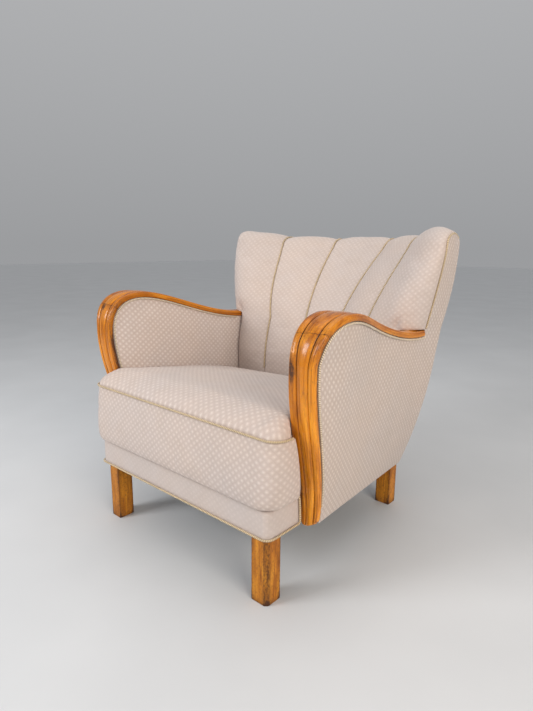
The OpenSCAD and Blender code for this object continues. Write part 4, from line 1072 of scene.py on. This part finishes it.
def inner_arm(side, sgn):
    start_y, start_z = arm_at(IN_S0, BOARD_OUT)
    u = np.linspace(0, 1, 78)[:, None]
    v = np.linspace(0, 1, 38)
    far = np.concatenate([lerp(start_y + 8, WING_FOOT_Y + 26, u ** 0.8),
                          lerp(start_z - 10, seat_base_z(ARM_REAR_Y) - 60, c01(u * 3))], 1)[:, None]
    y, z = split2(lerp(far, arm_at(lerp(IN_S0, 3, u), BOARD_OUT), v[:, None]))
    room = outer_y(np.maximum(BACK_FOOT_Z, z)) - 4 - y
    puff = 0.8 * ARM_PAD_SWELL * swell(2 * v - 1) * smooth(room / 80) * smooth(u * 5)
    x = inner_x(y, z)
    # The rows of the weave rise a little towards the front
    obj = slab(f"inner_arm_{side}_pad", stack((x - puff) * sgn, y, z),
               stack((x + ARM_PAD_T) * sgn, y, z), weave(y * sgn, z + 0.17 * y))
    blow_up(obj, y.shape, (3, 2), 0.003, pressure=0.8, excess=0.008, hold=0.3, share=c01(room / 40))
    subdivide(obj)
    # The inner sides take the lighter copy of the cloth, painted light
    return dress(obj, "fabric", f"inner_arm_{side}", material=INNER_CLOTH_PAINTED_LIGHT, fill=0.7)


# Outer sides with the wings above them
PANEL_S0, ARM_U, EDGE_U = 0.125, 0.56, 0.82
WING_TOP_Y0 = float(wing_y(ROLL_Z))
WING_TOP_Y1 = float(corner_y(ROLL_Z)) - GAP


def wing_top(w, start=WING_TOP_Y0):
    """Line over the top of a wing's side, at an angle of w on its way."""
    middle, half = (start + WING_TOP_Y1) / 2, (WING_TOP_Y1 - start) / 2
    return middle - half * np.cos(w), ROLL_Z + ROLL_H * np.sin(w)


def side_panel(side, sgn):
    u = np.concatenate([np.linspace(0, ARM_U, 82), np.linspace(ARM_U + 0.006, EDGE_U, 40),
                        np.linspace(EDGE_U, 1, 22)[1:]])
    arm, top = u <= ARM_U, u > EDGE_U
    wing = ~arm & ~top
    near = np.empty((len(u), 2))
    near[arm] = arm_at(lerp(PANEL_S0, 3, u[arm] / ARM_U), BOARD_OUT)
    z = lerp(ARM_CLEAR_Z, ROLL_Z, (u[wing] - ARM_U) / (EDGE_U - ARM_U))
    near[wing] = np.stack([wing_y(z) + GAP, z], -1)
    w = np.radians(170 * (u[top] - EDGE_U) / (1 - EDGE_U))
    near[top] = np.stack(wing_top(w, WING_TOP_Y0 + GAP), -1)
    low = c01(2 * u)
    y = lerp(SIDE_FOOT_Y, CORNER_FOOT_Y, 0.4 * smooth(low) + 0.6 * low)
    z = lerp(underside(CORNER_FOOT_Y), ROLL_Z - 4, 2 * u - 1)
    far = np.where(u[:, None] < 0.5, np.stack([y, underside(y)], -1), np.stack([corner_y(z), z], -1))
    v = np.concatenate([[0, 0.008, 0.02], np.linspace(0.045, 0.955, 38), [0.98, 0.992, 1.0]])
    y, z = split2(lerp(far[:, None], near[:, None], v[:, None]))
    x = side_x(y, z)
    # The rear corner and the lower edge are eased over, and the cloth ripples by the tacks
    ripple = 0.45 * wave_noise(y, z, 21, 160, 2) * smooth(v * 8) * smooth((1 - v) * 8)
    outer = stack((x - 1.5 * fade(v, 0.012) + ripple) * sgn, y, z)
    # The cloth of the sides was cut a little off its threads
    uv = weave((1.137 * y + 0.168 * z) * sgn, 0.061 * y + 0.883 * z)
    obj = slab(f"side_panel_{side}_cloth", outer, stack((x - SKIN_T) * sgn, y, z), uv, 55)
    subdivide(obj)
    return dress(obj, "fabric", f"side_panel_{side}", material=SIDE_CLOTH)


# Fluted back
MID_Q = np.sin(np.linspace(-1, 1, 23) * np.pi / 2)
WING_Q = np.concatenate([np.sin(np.linspace(-1, 0.1, 18) * np.pi / 2),
                         np.linspace(0.22, 0.9, 13), [0.94, 0.97, 0.99, 1.0]])
EDGES = [-3, -2, -1, 1, 2, 3]
SCALLOP = [1.6, 0.6, 1, 0.6, 1.6]
WING_FULL, STRAIGHT = 13.0, 0.86
WINGS = (0, 4)


def edge_x(i, z):
    return np.sign(i) * welt_x(abs(i) - 1, z)


def flute_x(k, q, z):
    """Place q, from -1 to 1, across flute k at a height."""
    return lerp(edge_x(EDGES[k], z) + GAP / 2, edge_x(EDGES[k + 1], z) - GAP / 2, (q + 1) / 2)


def pad_back_y(x, z):
    rail_low = TOP_RAIL_Z - TOP_RAIL_H
    straight = lerp(REAR_LEG_Y - 27, base_y(x, rail_low) + TOP_PAD_T,
                    c01((arr(z) - BACK_FOOT_Z - 30) / (rail_low - BACK_FOOT_Z - 30)))
    over = np.where(arr(z) > rail_low, base_y(x, z) + TOP_PAD_T, straight)
    return np.maximum(back_y(x, z) + 8, over)


def forward_peak(x):
    """On the sitter's right the top is highest near its front."""
    return 0.8 * smooth((-arr(x) - 90) / 130)


def edge_gap(k, x, z):
    """Distance to the outer edge of a wing."""
    return np.abs(flute_x(k, 1.0 if k else -1.0, z)) - np.abs(x)


def edge_roll(k, x, z):
    """How much fuller than the solid a wing is near its outer edge."""
    e = edge_gap(k, x, z)
    return 1.0 + (WING_FULL - 1) * quarter(c01(e / WING_FULL)) * (1 - smooth((e - WING_FULL) / 110))


def follow_side(k, x, y):
    """Over the top the outer edge of a wing runs back along the narrowing side."""
    if k not in WINGS:
        return x + 0 * y
    narrow = side_x(WING_TOP_Y0, ROLL_Z) - side_x(np.maximum(y, WING_TOP_Y0), ROLL_Z)
    return x - np.sign(x) * narrow * smooth((np.abs(x) - 250) / 110)


def face_lean(x, z):
    return (back_y(x, arr(z) + 0.5) - back_y(x, arr(z) - 9.5)) / 10


def over_top(line, t):
    """A line of the back, given as x for each height, that goes on over the top: x and height."""
    lift = np.sin(np.minimum(t * 2, 1) * np.pi / 2) ** 0.8
    x = line(np.minimum(BACK_H, lerp(spring_z(line(TOP_RAIL_Z)) - 3, BACK_H, lift)))
    return x, spring_z(x)


def flute_face(k, q):
    """Front and back of a flute below its roll, and the heights of its rows."""
    z = np.linspace(BACK_FOOT_Z - 40, TOP_RAIL_Z - 2, 68)[:, None]
    if k in WINGS:
        z = np.concatenate([np.linspace(BACK_FOOT_Z - 40, ARM_CLEAR_Z - 0.5, 34),
                            ARM_CLEAR_Z + arr([0.5, 1.5, 4, 8]),
                            np.linspace(ARM_CLEAR_Z + 13, TOP_RAIL_Z - 2, 32)])[:, None]
    x = flute_x(k, q, z)
    up, over, lump_q = z - ARM_CLEAR_Z, z > ARM_CLEAR_Z, q
    if k in WINGS:
        # Below the arm's height the columns go straight down from those above,
        # and the ones that lie over the arm crowd together at its inner side
        out = 1 if k else -1
        ends = arr([-1, 1]) * out
        near, far = np.split(flute_x(k, ends, z), 2, axis=1)
        low_near, low_far = flute_x(k, ends, ARM_CLEAR_Z - 0.5)
        s = (flute_x(k, q, ARM_CLEAR_Z + 0.5) - low_near) / (low_far - low_near)
        s = np.where(s < STRAIGHT, s, lerp(STRAIGHT, 1, (s - STRAIGHT) / (s.max() - STRAIGHT)))
        x = np.where(over, x, lerp(near, far, c01(s)))
        a, low_x, in_x = np.abs(x), welt_x(1, z), wing_in_x(z)
        low_q = out * (c01((a - low_x) / (in_x - low_x)) * 2 - 1)
        lump_q = np.where(over, lerp(low_q, q, smooth(up / 60)), q)
    # Fine puckers where the cloth is sewn into the valleys, and soft unevenness of the stuffing
    seam = (1 - np.abs(q)) * 8
    pucker = 0.7 * wave_noise(z, 0.05 * x, 40 + k, 34, 2) * np.exp(-seam) * (1 - np.exp(-seam * 3))
    lumps = 0.9 * wave_noise(x, z, 50 + k, 150, 2) * swell(lump_q)
    y, y_in = face_y(x, z), pad_back_y(x, z)
    if k in WINGS:
        # The wing's lower edge, over the arm, is turned under
        turned = 5 * fade(up, 3.0) * c01((a - in_x) / 10)
        # and its outer edge is full and rounded up to the welt
        full = np.maximum(smooth(up / 50), 0.9 * smooth((a - in_x + 4) / 26))
        y = y + np.where(over, turned - edge_roll(k, x, z) * full, 0)
        y_in = np.where(over, lerp(wing_y(z) - 0.3, y_in, smooth((edge_gap(k, x, z) - 4.2) / 5)), y_in)
    return stack(x, y + pucker + lumps, z), stack(x, y_in, z), z[:, 0]


def flute_top(k, q):
    """Upper and lower side of a flute's roll over the back's top."""
    t = np.linspace(0, 1, 30)[:, None]
    x, z = over_top(lambda at: flute_x(k, q, at), t)
    y0, y1 = face_y(x, z), rear_y(x, z)
    rise, under_h = SCALLOP[k] * swell(q), ROLL_H - 14
    if k == 0:
        # The padding of this wing has kept its height up to a tight outer corner
        rise = np.where(q > 0, 1.05 * swell(q), (1.05 + 0.4 * smooth(-q)) * (1 - c01(-q) ** 7) ** 0.5)
    if k in WINGS:
        gap = edge_gap(k, x, z)
        y0 = y0 - edge_roll(k, x, z)
        under_h = lerp(ROLL_H + 0.5, under_h, smooth((gap - 4.2) / 5))
        rise = rise + 0.14 * (1 - smooth(gap / 12))
    top = roll_over(y0, y1, z, ROLL_H + SCALLOP_H * rise, face_lean(x, z), t, forward_peak(x))[0]
    under = roll_over(pad_back_y(x, z), y1 - SKIN_T, z, under_h, 0.0, t)[0]
    return [stack(follow_side(k, x, p[..., 0]), *split2(p)) for p in (top, under)]


def back_flute(k):
    q = MID_Q if k not in WINGS else WING_Q if k else -WING_Q[::-1]
    face, back, z = flute_face(k, q)
    top, under = flute_top(k, q)
    outer, inner = np.concatenate([face, top]), np.concatenate([back, under])
    n, m = outer.shape[:2]
    across = run_length(outer, 1)
    across += (outer[..., 0] - across)[:, m // 2, None]
    uv = weave(across, run_length(outer, 0).mean(1, keepdims=True))
    obj = slab(f"back_flute_{k + 1}_pad", outer, inner, uv, 60)
    before = coords(obj)
    blow_up(obj, (n, m), (4, 3), 0.004, pressure=0.9, excess=0.010, hold=0.35,
            share=c01((outer[..., 2] - BACK_FOOT_Z) / 40))
    if k in WINGS:
        # The filling goes on evenly past the narrow rows at the arm's height
        shift = (coords(obj) - before).reshape(2, n, m, 3)
        a, b = np.searchsorted(z, [ARM_CLEAR_Z - 14, ARM_CLEAR_Z + 26])
        w = ((z[a:b + 1] - z[a]) / (z[b] - z[a]))[:, None, None]
        shift[:, a:b + 1] = lerp(shift[:, a:a + 1], shift[:, b:b + 1], w)
        set_coords(obj, before + shift.reshape(-1, 3))
    subdivide(obj)
    return dress(obj, "fabric", f"back_flute_{k + 1}", material=BACK_CLOTH, fill=0.8)


def outer_back():
    t = np.linspace(0, 1, 62)[:, None]
    q = np.sin(np.linspace(-1, 1, 70) * np.pi / 2)
    x_high = q * (corner_x(ROLL_Z - 6) - SKIN_T - 0.5)
    z = lerp(underside(REAR_LEG_Y) + 3, spring_z(x_high) - GAP, t)
    x = q * (corner_x(z) - SKIN_T - 0.5)
    y, edge = rear_y(x, z), 1 - np.abs(q)
    ripple = 0.8 * wave_noise(x, z, 61, 210, 2) * smooth(edge * 6) * smooth(t * 8) * smooth((1 - t) * 8)
    outer = stack(x, y + ripple - 0.5 * fade(edge, 0.006), z)
    obj = slab("outer_back_cloth", outer, stack(x, y - SKIN_T, z), weave(x, z), 55)
    subdivide(obj)
    return dress(obj, "fabric", "outer_back")


seat_top()
front_border()
apron_band()
for side, sgn in SIDES:
    inner_arm(side, sgn)
    side_panel(side, sgn)
for k in range(5):
    back_flute(k)
outer_back()


# Piping and welts, laid after the padding
def seat_piping():
    x, y = front_line(WRAP_U, SEAT_HALF + CORD_OFF, SEAT_FRONT + CORD_OFF, CORNER_R + CORD_OFF,
                      arm_front_y(SEAT_EDGE_H) - END_GAP)
    return piping("seat_piping_cord", [stack(x, y, SEAT_EDGE_H - RIM / 2)], "seat_piping")


def apron_piping():
    end_x = APRON_HALF + CORD_OFF
    x, y = front_line(WRAP_U, end_x, APRON_FRONT + CORD_OFF, APRON_R + CORD_OFF, apron_end_y(APRON_H) - 6)
    z = np.linspace(APRON_H + PIPING_R + 6, FOLD_H + 3, 14)
    up = stack(end_x, apron_end_y(z) - PIPING_R, z)
    w = np.radians(np.linspace(15, 75, 5))
    bend = stack(end_x, up[0, 1] - 6 * (1 - np.sin(w)), up[0, 2] - 6 * np.cos(w))
    tail = np.concatenate([bend, up])
    path = np.concatenate([(tail * [-1, 1, 1])[::-1], stack(x, y, APRON_H + PIPING_R), tail])
    return piping("apron_piping_cord", [path], "apron_piping")


def arm_piping(side, sgn):
    paths = []
    for edge, off, s in ((side_x, CORD_OFF + GAP, np.linspace(PANEL_S0, 3, 150)),
                         (inner_x, -CORD_OFF, np.linspace(0.625, 2.87, 120))):
        y, z = split2(arm_at(s, -WOOD_T - CORD_OFF))
        paths.append(stack((edge(y, z) + off) * sgn, y, z))
    # The arms' cords take the lighter copy of the piping cloth, painted light
    return piping(f"arm_piping_{side}_cord", paths, f"arm_piping_{side}", material=ARM_CORD_PAINTED_LIGHT)


def back_welts():
    paths = []
    for i in (-2, -1, 1, 2):
        z = np.linspace(BACK_FOOT_Z + 14, TOP_RAIL_Z - 2, 60)
        x = edge_x(i, z)
        front = stack(x, back_y(x, z) - CORD_OFF, z)
        t = np.linspace(0, 1, 40)
        x, z = over_top(lambda at: edge_x(i, at), t)
        p, out = roll_over(back_y(x, z), rear_y(x, z), z, ROLL_H, face_lean(x, z), t, forward_peak(x))
        paths.append(np.concatenate([front, stack(x, *split2(p + out * CORD_OFF))]))
    return piping("back_welt_cords", paths, "back_welts", r=WELT_R)


def wing_welts():
    z = np.linspace(ARM_CLEAR_Z + PIPING_R, ROLL_Z, 50)
    front = stack(side_x(wing_y(z), z) + 1.0, wing_y(z) + 1.0, z)
    w = np.radians(np.linspace(6, 150, 40))
    y, z = wing_top(w)
    sink = lerp(1.0, -1.2, smooth((np.degrees(w) - 50) / 70))
    over = stack(side_x(y, ROLL_Z) + sink, y + np.cos(w), z + 0.5 * np.sin(w))
    path = np.concatenate([front, over])
    return piping("wing_welt_cords", [path, path * [-1, 1, 1]], "wing_welts", r=WELT_R)


seat_piping()
apron_piping()
for side, sgn in SIDES:
    arm_piping(side, sgn)
back_welts()
wing_welts()


# Floor, light and camera
CAMERA_ANGLES = (41.528, 11.992, 0.358)
CAMERA_PLACE = (0.9384955, -1.02899 - MID / 1000, 0.75965)
FOCAL_PX, PHOTO_H, SENSOR_H = 514.385, 711, 36


def floor():
    mesh = bpy.data.meshes.new("floor")
    mesh.from_pydata([(-20, -20, 0), (20, -20, 0), (20, 20, 0), (-20, 20, 0)], [], [(0, 1, 2, 3)])
    mesh.materials.append(floor_material())
    place_object("floor", mesh)


def area_light(name, place, target, size, power, color):
    light = bpy.data.lights.new(name, "AREA")
    light.shape, light.size, light.energy, light.color = "SQUARE", size, power, color
    obj = place_object(name, light)
    obj.location = place
    obj.rotation_euler = (Vector(target) - Vector(place)).to_track_quat("-Z", "Y").to_euler()


def camera():
    turn, down, roll = map(math.radians, CAMERA_ANGLES)
    fwd = Vector((-math.sin(turn) * math.cos(down), math.cos(turn) * math.cos(down), -math.sin(down)))
    right = Vector((math.cos(turn), math.sin(turn), 0))
    up = right.cross(fwd)
    x = math.cos(roll) * right + math.sin(roll) * up
    y = -math.sin(roll) * right + math.cos(roll) * up
    data = bpy.data.cameras.new("camera")
    data.sensor_fit, data.sensor_height = "VERTICAL", SENSOR_H
    data.lens = SENSOR_H * FOCAL_PX / PHOTO_H
    obj = place_object("camera", data)
    obj.matrix_world = Matrix([(x[i], y[i], -fwd[i], CAMERA_PLACE[i]) for i in range(3)] + [(0, 0, 0, 1)])
    SCENE.camera = obj


floor()
area_light("key", (-1.3, -2.9, 1.8), (0, -0.1, 0.45), 1.2, 64, (0.975, 0.985, 1.0))
area_light("fill", (3.2, -1.3, 1.6), (0, 0, 0.4), 2.0, 79, (1.0, 0.905, 0.80))
area_light("top", (0.2, 0.2, 3.0), (0, 0, 0.4), 2.4, 18, (1.0, 0.985, 0.975))
sky = Tree("studio", bpy.data.worlds, "Background")
height = sky.split(sky.node("TexCoord", "Generated"))[2]
tint = sky.ramp(height, (0.0, (0.66, 0.67, 0.69)), (0.55, (0.95, 0.96, 0.98)))
SCENE.world = sky.finish(Color=tint, Strength=0.5)
SCENE.view_settings.view_transform = "Standard"
camera()
